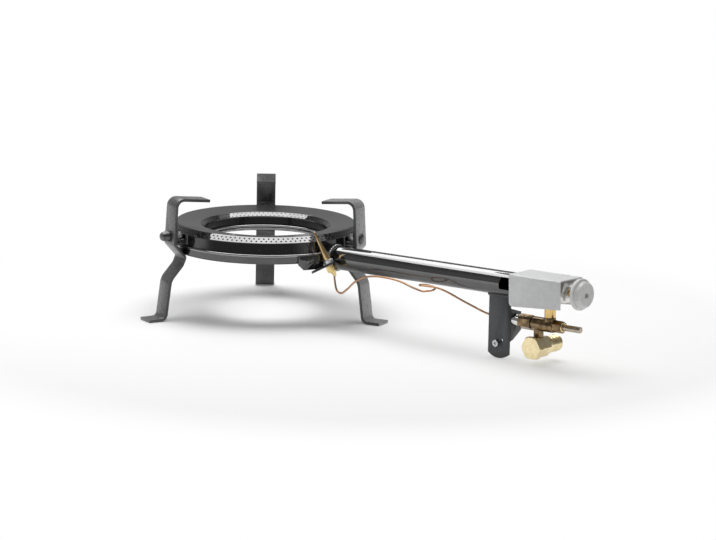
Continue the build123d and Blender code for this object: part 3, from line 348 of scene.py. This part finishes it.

# Heat dulls the coat: in patches on the outer wall, and all over on the other three. Round a spot on
# the wall's front the coat is dulled further, as painted shade for a dark reflection there
front_shade_spot, front_shade_edge = (0.06, -0.077, 0.08), (0.062, 0.034)
from_shade_spot = vectors(tree, "DISTANCE", place, front_shade_spot)
patches = maths(tree, "MAXIMUM", eased_step(tree, from_shade_spot, *front_shade_edge),
                eased_step(tree, noise(tree, place, 24.0, 2.0), 0.42, 0.62))
outer_dull_and_shade = maths(tree, "MULTIPLY", outer_wall, maths(tree, "MULTIPLY_ADD", patches, 0.36, 0.62))
other_dull = [maths(tree, "MULTIPLY", mask, share)
              for mask, share in ((hole_wall, 0.96), (tray_rim, 0.42), (flat_top, 0.65))]
dull = chain(tree, "MAXIMUM", outer_dull_and_shade, *other_dull)
dust = use(tree, specks, Place=place, Spacing=0.0023, Size=0.15, Share=0.3)["Mask"]
film = use(tree, mottle, Place=place, Size=0.02, Rough_A=0.0, Rough_B=1.0)["Roughness"]
gloss = maths(tree, "SUBTRACT", maths(tree, "MULTIPLY_ADD", film, 0.12, 0.88),
              maths(tree, "MULTIPLY", dust, 0.5))
coat = maths(tree, "MULTIPLY", gloss, maths(tree, "SUBTRACT", 1.0, dull), clamp=True)
feed(tree, shader["Coat Weight"], coat)
burnt = mixed(tree, flat_top, black, burnt_black)
feed(tree, shader["Base Color"], mixed(tree, dust, burnt, dust_colour))

# The sheet is puckered round the ports: a wave to each port along the bevel, times one across its rows
port_rows, row_waves, bevel_half_width = ((120, 0.09505), (88, 0.06535)), 750.0, 0.0025
round_angle = maths(tree, "ARCTAN2", across[1], across[0])
surface = noise(tree, place, 210.0)
for ports, row_middle in port_rows:
    along_row = maths(tree, "COSINE", maths(tree, "MULTIPLY", round_angle, ports))
    from_middle = maths(tree, "SUBTRACT", reach, row_middle)
    over_rows = maths(tree, "SINE", maths(tree, "MULTIPLY", from_middle, row_waves))
    bevel = maths(tree, "COMPARE", reach, row_middle, bevel_half_width)
    pucker = chain(tree, "MULTIPLY", along_row, over_rows, bevel)
    surface = maths(tree, "MULTIPLY_ADD", pucker, 0.7, surface)
relief(tree, shader, surface, 0.00011, 0.8)
dress(black_enamel, "burner_top_shell", "burner_tray")

plain_enamel, tree, shader = finish("bead_enamel", black, 0.22, 0.85, Coat_Weight=1.0,
                                    Coat_Roughness=0.05, Coat_IOR=2.6)
peel = noise(tree, here(tree), 260.0)
feed(tree, shader["Base Color"], mixed(tree, peel, (0.10, 0.10, 0.10), (0.22, 0.22, 0.22)))
relief(tree, shader, peel, 0.0001, 0.6)


def form_tree(name, inputs):
    """A Geometry Nodes tree with named inputs, and its input and output sockets."""
    shape = "NodeSocketGeometry"
    return node_group(name, "GeometryNodeTree",
                      [("Geometry", shape), *inputs, ("Finish", "NodeSocketMaterial")],
                      [("Geometry", shape)])


def close_form(form, shape, material, end):
    """Ends a tree in Realize Instances and Set Material."""
    plain = put(form, "GeometryNodeRealizeInstances", {"Geometry": shape}).outputs[0]
    painted = put(form, "GeometryNodeSetMaterial", {"Geometry": plain, "Material": material})
    feed(form, end["Geometry"], painted.outputs[0])


# A rolled edge or a weld: a round bead along a path, its thickness rippled as the torch left it
bead_form, given, end = form_tree("bead", [("Bead radius", number, 0.001), ("Ripple", number, 0.0),
                                           ("Ripple pitch", number, 0.002), ("Step", number, 0.0006)])
path = put(bead_form, "GeometryNodeMeshToCurve", {"Mesh": given["Geometry"]}).outputs[0]
path = put(bead_form, "GeometryNodeResampleCurve", {"Curve": path, "Length": given["Step"]},
           mode="LENGTH").outputs[0]
run = put(bead_form, "GeometryNodeSplineParameter").outputs["Length"]
ripples = maths(bead_form, "DIVIDE", run, given["Ripple pitch"])
wave = maths(bead_form, "SINE", maths(bead_form, "MULTIPLY", ripples, 2 * pi))
thick = maths(bead_form, "MULTIPLY_ADD", wave, given["Ripple"], 1.0)
outline = put(bead_form, "GeometryNodeCurvePrimitiveCircle",
              {"Resolution": 12, "Radius": given["Bead radius"]}).outputs[0]
bead = put(bead_form, "GeometryNodeCurveToMesh", {"Curve": path, "Profile Curve": outline,
                                                  "Scale": thick, "Fill Caps": True}).outputs[0]
bead = put(bead_form, "GeometryNodeSetShadeSmooth", {"Geometry": bead}).outputs[0]
close_form(bead_form, bead, given["Finish"], end)


def made_mesh(start):
    """The plain mesh that an object's modifiers make; the object itself is taken away."""
    ready = start.evaluated_get(bpy.context.evaluated_depsgraph_get())
    final = bpy.data.meshes.new_from_object(ready)
    bpy.data.objects.remove(start)
    return final


def grow(name, mesh, form, body, slot_name, **values):
    """The mesh that a Geometry Nodes tree makes from a start mesh, as a piece riding on a body."""
    start = stand(name + "_start", mesh)
    maker = start.modifiers.new("form", "NODES")
    maker.node_group = form
    for socket in form.interface.items_tree:
        label = socket.name.replace(" ", "_")
        if socket.in_out == "INPUT" and label in values:
            maker[socket.identifier] = values[label]
    final = made_mesh(start)
    bm = bmesh.new()
    bm.from_mesh(final)
    bmesh.ops.recalc_face_normals(bm, faces=bm.faces)
    bm.to_mesh(final)
    bm.free()
    piece = stand(name, final)
    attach(piece, body)
    return piece


def path_mesh(name, lines, closed=False):
    """Edges along one or more lists of points, each closed to a loop where asked."""
    mesh = bpy.data.meshes.new(name)
    points, edges = [], []
    for line in lines:
        first = len(points)
        points += line
        edges += [(first + i, first + i + 1) for i in range(len(line) - 1)]
        if closed:
            edges.append((len(points) - 1, first))
    mesh.from_pydata(points, edges, [])
    return mesh


# The rolled rim of the tray, and the two folds of the seam inside the hole
rim_line, fold_radius, fold_heights = hoop(0.0989, 0.0749), 0.0619, (0.0765, 0.0735)
fold_lines = [hoop(fold_radius, height) for height in fold_heights]
grow("tray_rim_roll", path_mesh("rim_path", [rim_line], closed=True), bead_form, "frame", "enamel",
     Bead_radius=0.0016, Finish=plain_enamel, Step=0.0025)
grow("hole_seam_rolls", path_mesh("seam_path", fold_lines, closed=True), bead_form, "frame", "enamel",
     Bead_radius=0.0013, Finish=plain_enamel, Step=0.002)


# Mixer tube
# A 24 mm steel tube welded into the side of the ring, with an air window near the tap, in the same
# gloss enamel. The weld runs round the tube's root as a rippled collar.
tilt = radians(1.65)
tube_way, up_way = Vector((cos(tilt), 0, sin(tilt))), Vector((-sin(tilt), 0, cos(tilt)))
tube_root = Vector((0.098, 0, 0.0688))


def by_tube(along, sideways, up):
    """A place from its distances in mm along, across and above the tube's middle line."""
    return tube_root + (tube_way * along + Vector((0, sideways, 0)) + up_way * up) / 1000


tube_enamel, tree, shader = finish("tube_enamel", black, 0.3, Coat_Roughness=0.03, Coat_IOR=2.5,
                                   Specular_IOR_Level=0.15)
place = here(tree)
film = use(tree, mottle, Place=place, Size=0.03, Rough_A=0.9, Rough_B=1.0)["Roughness"]
dust = use(tree, specks, Place=place, Spacing=0.003, Size=0.12, Share=0.25)["Mask"]
# The coat is thinned on the tube's lower half, as painted shade on its underside
from_root = vectors(tree, "SUBTRACT", place, tube_root, result="Vector")
above = vectors(tree, "DOT_PRODUCT", from_root, up_way)
underside_shade_edge, underside_shade_amount = (0.004, -0.003), 0.4
painted_underside_shade = maths(tree, "MULTIPLY", eased_step(tree, above, *underside_shade_edge), underside_shade_amount)
gloss = maths(tree, "SUBTRACT", film, maths(tree, "MULTIPLY", dust, 0.4))
feed(tree, shader["Coat Weight"], maths(tree, "SUBTRACT", gloss, painted_underside_shade, clamp=True))
feed(tree, shader["Base Color"], mixed(tree, dust, black, (0.09, 0.088, 0.085)))
relief(tree, shader, noise(tree, place, 130.0), 0.00011, 0.7)
dress(tube_enamel, "mixer_tube")

weld_reach, collar_radius, collar_points = 0.0981, 0.0123, 72
proud_above, proud_below = 0.0017, 0.0031
collar = []
for i in range(collar_points):
    turn = 2 * pi * i / collar_points
    side, up = collar_radius * cos(turn), collar_radius * sin(turn)
    proud = proud_above if up > 0 else proud_below
    collar.append(((weld_reach ** 2 - side ** 2) ** 0.5 + proud, side, tube_root.z + up))
grow("tube_weld", path_mesh("tube_weld_path", [collar], closed=True), bead_form, "frame", "enamel",
     Bead_radius=0.0016, Ripple=0.16, Ripple_pitch=0.0022, Finish=plain_enamel, Step=0.0005)


# Legs, lugs and bolts
# Three 20 x 3 mm steel bars bent to hooks for the pan and to feet, each on a lug welded to the ring.
# Bars, lugs and bolt heads are sprayed together with satin black heat paint, streaked along the bar;
# each leg's copy of the paint is toned apart as painted light and shade.
def rounded(node, width, material, body="frame", segments=2, flat_angle=0.6):
    """A merged copy of a CAD node with its sharp edges rounded over, which stands for the node."""
    merge_distance, sharp_angle = 2e-6, 28
    bm = bmesh.new()
    bm.from_mesh(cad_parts[node].data)
    bmesh.ops.remove_doubles(bm, verts=bm.verts, dist=merge_distance)
    bmesh.ops.dissolve_limit(bm, angle_limit=radians(flat_angle), verts=bm.verts, edges=bm.edges)
    mesh = bpy.data.meshes.new(node + "_rounded")
    bm.to_mesh(mesh)
    bm.free()
    mesh.materials.append(material)
    for face in mesh.polygons:
        face.use_smooth = True
    start = stand(node + "_start", mesh)
    edge = start.modifiers.new("edge", "BEVEL")
    edge.limit_method, edge.angle_limit = "ANGLE", radians(sharp_angle)
    edge.width, edge.segments = width, segments
    edge.use_clamp_overlap, edge.harden_normals = True, True
    piece = stand(node + "_rounded", made_mesh(start))
    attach(piece, body)
    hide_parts(node)
    return piece


def bar_paint(name, azimuth, painted_light_tone):
    """Satin paint whose streaks run up the bar at the given angle round the ring; its tone is painted
    light and shade, and its thin edges are painted shade.
    """
    material, tree, shader = finish(name, (painted_light_tone, painted_light_tone, painted_light_tone), 0.3, IOR=1.9)
    place = here(tree)
    turned_back = put(tree, "ShaderNodeMapping",
                      {"Vector": place, "Rotation": (0, 0, -radians(azimuth))}).outputs[0]
    stretched = put(tree, "ShaderNodeMapping",
                    {"Vector": turned_back, "Scale": (0.16, 1.0, 0.10)}).outputs[0]
    streaks = noise(tree, stretched, 900.0, 3.0, 0.55)
    grit = use(tree, mottle, Place=place, Size=0.0016, Rough_A=0.26, Rough_B=0.38,
               Colour_A=(painted_light_tone * 0.8, painted_light_tone * 0.8, painted_light_tone * 0.83, 1),
               Colour_B=(painted_light_tone * 1.2, painted_light_tone * 1.2, painted_light_tone * 1.22, 1))
    dust = use(tree, specks, Place=place, Spacing=0.0026, Size=0.16, Share=0.28)["Mask"]
    speckled = mixed(tree, dust, grit["Colour"], (painted_light_tone + 0.1, painted_light_tone + 0.1, painted_light_tone + 0.09))

    # The bar's two thin edges are painted darker than its faces, as painted shade
    edge_way = (-sin(radians(azimuth)), cos(radians(azimuth)), 0)
    facing = put(tree, "ShaderNodeTexCoord").outputs["Normal"]
    shaded_side_share = maths(tree, "ABSOLUTE", vectors(tree, "DOT_PRODUCT", facing, edge_way))
    edge = eased_step(tree, shaded_side_share, 0.55, 0.85)
    feed(tree, shader["Base Color"], mixed(tree, edge, speckled, (0.012, 0.012, 0.013)))
    base_rough = maths(tree, "SUBTRACT", grit["Roughness"], 0.08)
    feed(tree, shader["Roughness"], maths(tree, "MULTIPLY_ADD", streaks, 0.16, base_rough))
    surface = maths(tree, "ADD", streaks, maths(tree, "MULTIPLY", grit["Height"], 0.5))
    relief(tree, shader, surface, 0.00005, 0.5)
    return material


leg_azimuths = {"right": 13, "rear": 133, "left": 253}
# Each leg's copy of the paint has its own tone, lightest on the right and darkest at the rear, as
# painted light and shade
leg_light_tones = {"right": 0.25, "rear": 0.03, "left": 0.11}
leg_paint_toned_copies = {}
for side, azimuth in leg_azimuths.items():
    paint = leg_paint_toned_copies[side] = bar_paint("leg_paint_" + side, azimuth, leg_light_tones[side])
    rounded("leg_" + side, 0.0008, paint, segments=3, flat_angle=0.2)
    rounded("lug_" + side, 0.0004, paint, flat_angle=0.2)

# A weld runs up each edge of a lug, on the ring's wall, in the right leg's lighter-toned copy of the
# paint
lug_half_width, lug_weld_foot, lug_weld_step, lug_weld_points = 0.0092, 0.0779, 0.0009, 12
weld_out = (weld_reach ** 2 - lug_half_width ** 2) ** 0.5
lug_welds = []
for azimuth in leg_azimuths.values():
    out_way = Vector((cos(radians(azimuth)), sin(radians(azimuth)), 0))
    side_way = Vector((-out_way.y, out_way.x, 0))
    for side in (-lug_half_width, lug_half_width):
        root = out_way * weld_out + side_way * side
        lug_welds.append([(root.x, root.y, lug_weld_foot + lug_weld_step * i)
                          for i in range(lug_weld_points)])
grow("lug_welds", path_mesh("lug_weld_path", lug_welds), bead_form, "frame", "leg_paint",
     Bead_radius=0.0014, Ripple=0.18, Ripple_pitch=0.0021, Finish=leg_paint_toned_copies["right"], Step=0.0005)

zinc = mottled("zinc_plate", (0.52, 0.52, 0.54), (0.72, 0.72, 0.71), 0.2, 0.36, 0.0015, metallic=1.0,
               depth=0.00002)


def turn_solid(bm, centre, outward, outline, steps, bored=False):
    """Adds a solid turned about a line, from radii and reaches in mm; a bored one is a closed ring."""
    side = outward.orthogonal().normalized()
    other = outward.cross(side)
    turns = [2 * pi * i / steps for i in range(steps)]
    rings = []
    for radius, reach in outline:
        middle = centre + outward * (reach / 1000)
        rings.append([bm.verts.new(middle + (side * cos(turn) + other * sin(turn)) * (radius / 1000))
                      for turn in turns])
    bands = list(zip(rings, rings[1:]))
    if bored:
        bands.append((rings[-1], rings[0]))
    else:
        bm.faces.new(list(reversed(rings[0])))
        bm.faces.new(rings[-1])
    for near, far in bands:
        join_rings(bm, near, far)


def closed_mesh(bm, name, smooth=False):
    """The mesh of a finished solid, its faces outward and its four-sided ones smooth if asked."""
    bmesh.ops.recalc_face_normals(bm, faces=bm.faces)
    for face in bm.faces:
        face.smooth = smooth and len(face.verts) == 4
    mesh = bpy.data.meshes.new(name)
    bm.to_mesh(mesh)
    bm.free()
    return mesh


# M6 bolts: a low painted head outside two legs, and on the left leg a cap nut outside instead
bolt_height, bar_lean, face_reach = 0.086, radians(3.67), 0.11298
shank = [(3, -14.5), (3, 0)]
low_head = shank + [(5.6, 0), (5.8, 0.4), (5.2, 1.2), (3.6, 1.8), (1.5, 2.1), (0.2, 2.15)]
cap_nut = shank + [(5.4, 0), (5.6, 0.4), (5.6, 4.8), (5.0, 5.2), (4.9, 6.6), (4.4, 8.4), (3.2, 9.8),
                   (1.6, 10.5), (0.2, 10.7)]
bm = bmesh.new()
for side, azimuth in leg_azimuths.items():
    level_out = Vector((cos(radians(azimuth)), sin(radians(azimuth)), 0))
    outward = level_out * cos(bar_lean) + Vector((0, 0, sin(bar_lean)))
    seat = level_out * face_reach + Vector((0, 0, bolt_height))
    turn_solid(bm, seat, outward, cap_nut if side == "left" else low_head, steps=24)
bolt_mesh = closed_mesh(bm, "leg_bolts_painted", smooth=True)
# The bolts take the left leg's toned copy of the paint
bolt_mesh.materials.append(leg_paint_toned_copies["left"])
bolts = stand("leg_bolts_painted", bolt_mesh)
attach(bolts, "frame")
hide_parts("leg_bolts")
rounded("leg_nuts", 0.0003, zinc)
dress(zinc, "leg_washers")


# Foot bracket
# A folded 2.5 mm steel plate from the tube down to the table, whose flange holds the safety valve. It
# is welded along the tube and sprayed satin dark grey; a screw and nut stand in its foot.
bracket_paint = mottled("bracket_paint", (0.040, 0.043, 0.048), (0.058, 0.061, 0.067), 0.3, 0.46,
                        0.0028, depth=0.00009, IOR=1.6)
rounded("valve_bracket", 0.0004, bracket_paint)
weld_start, weld_step, weld_points = (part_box("valve_bracket")[0][0] - tube_root.x) * 1000, 0.8, 33
weld_sideways, weld_up = -3.6, -11.6
bracket_weld = [tuple(by_tube(weld_start + weld_step * i, weld_sideways, weld_up))
                for i in range(weld_points)]
grow("bracket_weld", path_mesh("bracket_weld_path", [bracket_weld]), bead_form, "frame",
     "bracket_paint", Bead_radius=0.0017, Ripple=0.15, Ripple_pitch=0.0024, Finish=bracket_paint,
     Step=0.0005)
rounded("bracket_screw", 0.0003, zinc)
rounded("bracket_nut", 0.0002, zinc)


# Tap cover and knob
# The cover is a folded sheet in silver grey paint, screwed over the tap. The knob is a pale grey
# moulding with fine grip ribs, pressed on the spindle and held by a screw.
cover_paint = mottled("silver_grey_paint", (0.76, 0.765, 0.77), (0.82, 0.825, 0.83), 0.3, 0.4, 0.005,
                      depth=0.00005)
rounded("tap_cover", 0.0006, cover_paint, segments=3)
rounded("cover_screws", 0.0002, zinc)
knob_grey = mottled("moulded_grey", (0.78, 0.78, 0.77), (0.86, 0.86, 0.85), 0.3, 0.42, 0.0024,
                    depth=0.00006)
rounded("knob", 0.0006, knob_grey, body="knob", segments=3)

# Grip ribs: one rib copied round the knob
rib_form, given, end = form_tree("ribs_round", [("Ribs", "NodeSocketInt", 30)])
marks = put(rib_form, "GeometryNodeMeshLine", {"Count": given["Ribs"], "Offset": (0, 0, 0)}).outputs[0]
whole_turns = maths(rib_form, "MULTIPLY", put(rib_form, "GeometryNodeInputIndex").outputs[0], 2 * pi)
turns = put(rib_form, "ShaderNodeCombineXYZ",
            {"Z": maths(rib_form, "DIVIDE", whole_turns, given["Ribs"])}).outputs[0]
rotation = put(rib_form, "FunctionNodeEulerToRotation", {0: turns}).outputs[0]
copies = put(rib_form, "GeometryNodeInstanceOnPoints",
             {"Points": marks, "Instance": given["Geometry"], "Rotation": rotation}).outputs[0]
close_form(rib_form, copies, given["Finish"], end)


def rib_mesh(name, along, radii, half_width, proud):
    """One half-round rib along a cone, in mm, in a frame whose Z runs back along the tube."""
    sunk, end_height, shoulder = 0.3, 0.15, 0.7
    bm = bmesh.new()
    rings = []
    for share in (0.0, 0.08, 0.5, 0.92, 1.0):
        z = -(along[0] + (along[1] - along[0]) * share)
        radius = radii[0] + (radii[1] - radii[0]) * share
        lift = proud * (end_height if share in (0.0, 1.0) else 1.0)
        high, side = radius + lift * shoulder, half_width * shoulder
        profile = [(radius - sunk, -half_width), (high, -side), (radius + lift, 0), (high, side),
                   (radius - sunk, half_width)]
        rings.append([bm.verts.new((x / 1000, y / 1000, z / 1000)) for x, y in profile])
    for near, far in zip(rings, rings[1:]):
        join_rings(bm, near, far)
    bm.faces.new(rings[0])
    bm.faces.new(list(reversed(rings[-1])))
    return closed_mesh(bm, name)


knob_rib = rib_mesh("knob_rib", (317.4, 322.6), (12.78, 12.2), half_width=0.42, proud=0.32)
skirt_rib = rib_mesh("skirt_rib", (314.5, 317.5), (15.3, 15.3), half_width=0.35, proud=0.22)
knob_ribs = grow("knob_ribs", knob_rib, rib_form, "knob", "knob_plastic", Ribs=40, Finish=knob_grey)
skirt_ribs = grow("skirt_ribs", skirt_rib, rib_form, "knob", "knob_plastic", Ribs=60, Finish=knob_grey)
tube_axes = Matrix((up_way, (0, 1, 0), -tube_way)).transposed().to_4x4()
for ribs in (knob_ribs, skirt_ribs):
    ribs.data.transform(Matrix.Translation(tube_root) @ tube_axes)
dress(zinc, "knob_screw")


# Tap and safety valve
# Turned and milled brass: the tap and the riser down to the valve are bright, and the valve has gone
# brown. Its ring nut and the knob's bezel are nickel plated, and its push rod and the springs are steel.
turning, given, out = node_group(
    "turning", "ShaderNodeTree",
    [("Place", place_kind, (0, 0, 0)), ("Axis", place_kind, (1, 0, 0)), ("Pitch", number, 0.0004)],
    [("Height", number)])
run = vectors(turning, "DOT_PRODUCT", given["Place"], given["Axis"])
grooves = maths(turning, "DIVIDE", run, given["Pitch"])
wave = maths(turning, "SINE", maths(turning, "MULTIPLY", grooves, 2 * pi))
patchy = noise(turning, given["Place"], 700.0, 2.0)
feed(turning, out["Height"], maths(turning, "MULTIPLY", wave, patchy))


def turned_metal(name, bright, dull, rough_low, rough_high, axis, pitch=0.0005, size=0.006):
    """Metal with lathe marks along an axis and a slight drift of tarnish."""
    material, tree, shader = finish(name, bright, rough_low, 1.0)
    place = here(tree)
    skin = use(tree, mottle, Place=place, Size=size, Colour_A=(*bright, 1), Colour_B=(*dull, 1),
               Low=0.3, High=0.75, Rough_A=rough_low, Rough_B=rough_high)
    feed(tree, shader["Base Color"], skin["Colour"])
    feed(tree, shader["Roughness"], skin["Roughness"])
    marks = use(tree, turning, Place=place, Axis=axis, Pitch=pitch)["Height"]
    relief(tree, shader, marks, 0.000014, 0.6)
    return material


riser_brass = turned_metal("riser_brass", (0.82, 0.58, 0.25), (0.68, 0.45, 0.17), 0.16, 0.26, up_way)
valve_brown = turned_metal("browned_brass", (0.34, 0.235, 0.125), (0.07, 0.05, 0.035), 0.16, 0.3,
                           tube_way)
nickel = turned_metal("nickel_plate", (0.76, 0.75, 0.73), (0.64, 0.63, 0.61), 0.1, 0.2, tube_way)
rod_steel = turned_metal("warm_steel", (0.56, 0.48, 0.38), (0.38, 0.32, 0.26), 0.14, 0.26, tube_way,
                         size=0.004)
spring_wire = turned_metal("spring_wire", (0.5, 0.5, 0.5), (0.4, 0.4, 0.4), 0.25, 0.35, tube_way)
dress(riser_brass, "tap_plug", "tap_spindle", "injector_nozzle", "tap_body")
dress(nickel, "magnet_unit", "armature_stem")
rubber = mottled("seal_rubber", (0.015, 0.015, 0.015), (0.03, 0.03, 0.03), 0.5, 0.7, 0.001)
dress(rubber, "rod_seal", "valve_disc")


def spring(node, body):
    """A copy of a CAD spring in spring wire, riding on the body that holds it, which stands for the
    node.
    """
    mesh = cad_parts[node].data.copy()
    mesh.materials.clear()
    mesh.materials.append(spring_wire)
    piece = stand(node + "_coil", mesh)
    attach(piece, body)
    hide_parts(node)
    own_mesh(piece)


spring("closing_spring", "frame")
spring("tap_spring", "knob")
rounded("riser_pipe", 0.0004, riser_brass)
rounded("safety_valve_body", 0.0004, valve_brown, segments=3)
rounded("rod_gland_nut", 0.0004, valve_brown, segments=3)
rounded("valve_ring_nut", 0.0006, nickel, segments=3)
rounded("tap_bezel", 0.0004, nickel)
rounded("lead_end_nut", 0.0002, nickel)
rounded("push_rod", 0.0003, rod_steel, body="rod")

# The bright chamfer ring at the gland nut's outer end
gland_end, gland_sideways, gland_drop, chamfer_radius, chamfer_points = 290.2, 6.0, -36.5, 3.95, 36
chamfer = []
for i in range(chamfer_points):
    turn = 2 * pi * i / chamfer_points
    chamfer.append(tuple(by_tube(gland_end, gland_sideways + chamfer_radius * cos(turn),
                                 gland_drop + chamfer_radius * sin(turn))))
pale_brass = turned_metal("pale_brass", (0.96, 0.84, 0.54), (0.88, 0.72, 0.40), 0.18, 0.28, (0, 1, 0),
                          size=0.005)
grow("gland_end_ring", path_mesh("gland_ring_path", [chamfer], closed=True), bead_form, "frame",
     "brass", Bead_radius=0.0008, Finish=pale_brass, Step=0.0007)


# Gas inlet
# Pale milled brass: a block screwed under the valve, closed in front by a hexagon plug, and behind it
# a nipple with a 3/8 inch gas thread, both on fibre washers.
fibre = mottled("pressed_fibre", (0.34, 0.19, 0.12), (0.22, 0.11, 0.07), 0.7, 0.9, 0.0006)
dress(fibre, "inlet_washers")
rounded("inlet_block", 0.0006, pale_brass, segments=3)
rounded("inlet_plug", 0.0007, pale_brass, segments=3)

thread_form, given, end = form_tree("screw_thread", [
    ("Thread radius", number, 0.008), ("Turns", number, 10.0), ("Length", number, 0.014),
    ("Ridge", number, 0.0008)])
helix = put(thread_form, "GeometryNodeCurveSpiral",
            {"Resolution": 40, "Rotations": given["Turns"], "Start Radius": given["Thread radius"],
             "End Radius": given["Thread radius"], "Height": given["Length"]}).outputs[0]
ridge = put(thread_form, "GeometryNodeCurvePrimitiveCircle",
            {"Resolution": 6, "Radius": given["Ridge"]}).outputs[0]
wound = put(thread_form, "GeometryNodeCurveToMesh",
            {"Curve": helix, "Profile Curve": ridge, "Fill Caps": True}).outputs[0]
both = put(thread_form, "GeometryNodeJoinGeometry")
for shape in (given["Geometry"], wound):
    thread_form.links.new(shape, both.inputs[0])
close_form(thread_form, both.outputs[0], given["Finish"], end)

# The nipple is turned about its own middle line, from the start of its thread, and then laid along Y
nipple_low, nipple_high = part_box("inlet_nipple")
nipple_x, nipple_z = (nipple_low[0] + nipple_high[0]) / 2, (nipple_low[2] + nipple_high[2]) / 2
nipple_end, collar_face = nipple_high[1] * 1000, 14.6
thread_start = collar_face + 5.4
bore, spigot, collar_edge, collar_rim, root = 3.2, 4.6, 8.6, 9.0, 7.3
nipple_outline = [(bore, 10.8), (spigot, 10.8), (spigot, collar_face), (collar_edge, collar_face),
                  (collar_rim, collar_face + 0.4), (collar_rim, collar_face + 4.0),
                  (collar_edge, collar_face + 4.4), (root, collar_face + 4.6),
                  (root, nipple_end - 0.8), (6.8, nipple_end), (5.6, nipple_end),
                  (bore, nipple_end - 2.4)]
bm = bmesh.new()
turn_solid(bm, Vector((0, 0, -thread_start / 1000)), Vector((0, 0, 1)), nipple_outline, steps=48,
           bored=True)
nipple = grow("threaded_nipple", closed_mesh(bm, "nipple_core"), thread_form, "frame", "brass",
              Thread_radius=0.00757, Turns=10.6, Length=0.0142, Ridge=0.00076, Finish=pale_brass)
thread_place = Matrix.Translation((nipple_x, thread_start / 1000, nipple_z))
nipple.data.transform(thread_place @ Matrix.Rotation(radians(-90), 4, "X"))
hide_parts("inlet_nipple")


# Flame probe and lead
# A tapered brass probe screwed through a painted tab on the tray's rim and held by a lock nut, with a
# cone nut under it. Its copper lead, 2 mm thick, runs in bends along the tube to the safety valve.
rounded("probe_tab", 0.0003, black_enamel)
probe_seat, probe_point = Vector((0.1079, -0.0200, 0.0659)), Vector((0.0936, -0.0285, 0.0980))
probe_way = (probe_point - probe_seat).normalized()
probe_run = (probe_point - probe_seat).length * 1000
probe_brass = turned_metal("heated_brass", (0.82, 0.62, 0.30), (0.42, 0.26, 0.15), 0.18, 0.3,
                           probe_way, size=0.012)
nut_brass = turned_metal("nut_brass", (0.88, 0.70, 0.34), (0.76, 0.56, 0.24), 0.16, 0.28, probe_way)


def turned_on_probe(name, outline, material):
    """A lathe piece on the probe's middle line, from radii and reaches in mm."""
    bm = bmesh.new()
    turn_solid(bm, probe_seat, probe_way, outline, steps=32)
    mesh = closed_mesh(bm, name, smooth=True)
    mesh.materials.append(material)
    piece = stand(name, mesh)
    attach(piece, "frame")
    return piece


probe_outline = [(2.9, -4.2), (3.0, -3.9), (3.0, 3.4), (3.5, 3.7), (3.6, 6.0), (3.45, 9.0),
                 (2.9, 14.5), (2.3, 20.0), (1.75, 26.0), (1.3, 31.0), (0.95, probe_run - 1.0),
                 (0.5, probe_run)]
cone_outline = [(1.0, -13.9), (1.3, -13.6), (1.7, -12.6), (2.6, -10.0), (3.7, -7.6), (3.9, -7.0)]
probe = turned_on_probe("tapered_probe", probe_outline, probe_brass)
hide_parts("flame_probe")
rounded("probe_gland_nut", 0.0004, nut_brass, segments=3)
# The lock nut's zinc is paler and less metallic than the other zinc, as painted light for its bright
# look
pale_zinc = mottled("pale_zinc", (0.86, 0.88, 0.90), (0.72, 0.74, 0.76), 0.22, 0.34, 0.001,
                    metallic=0.7)
rounded("probe_lock_nut", 0.0003, pale_zinc)
turned_on_probe("lead_cone", cone_outline, nut_brass)
copper = turned_metal("drawn_copper", (0.66, 0.38, 0.22), (0.44, 0.26, 0.16), 0.25, 0.4, (1, 0, 0),
                      pitch=0.0013, size=0.01)
dress(copper, "thermocouple_lead")
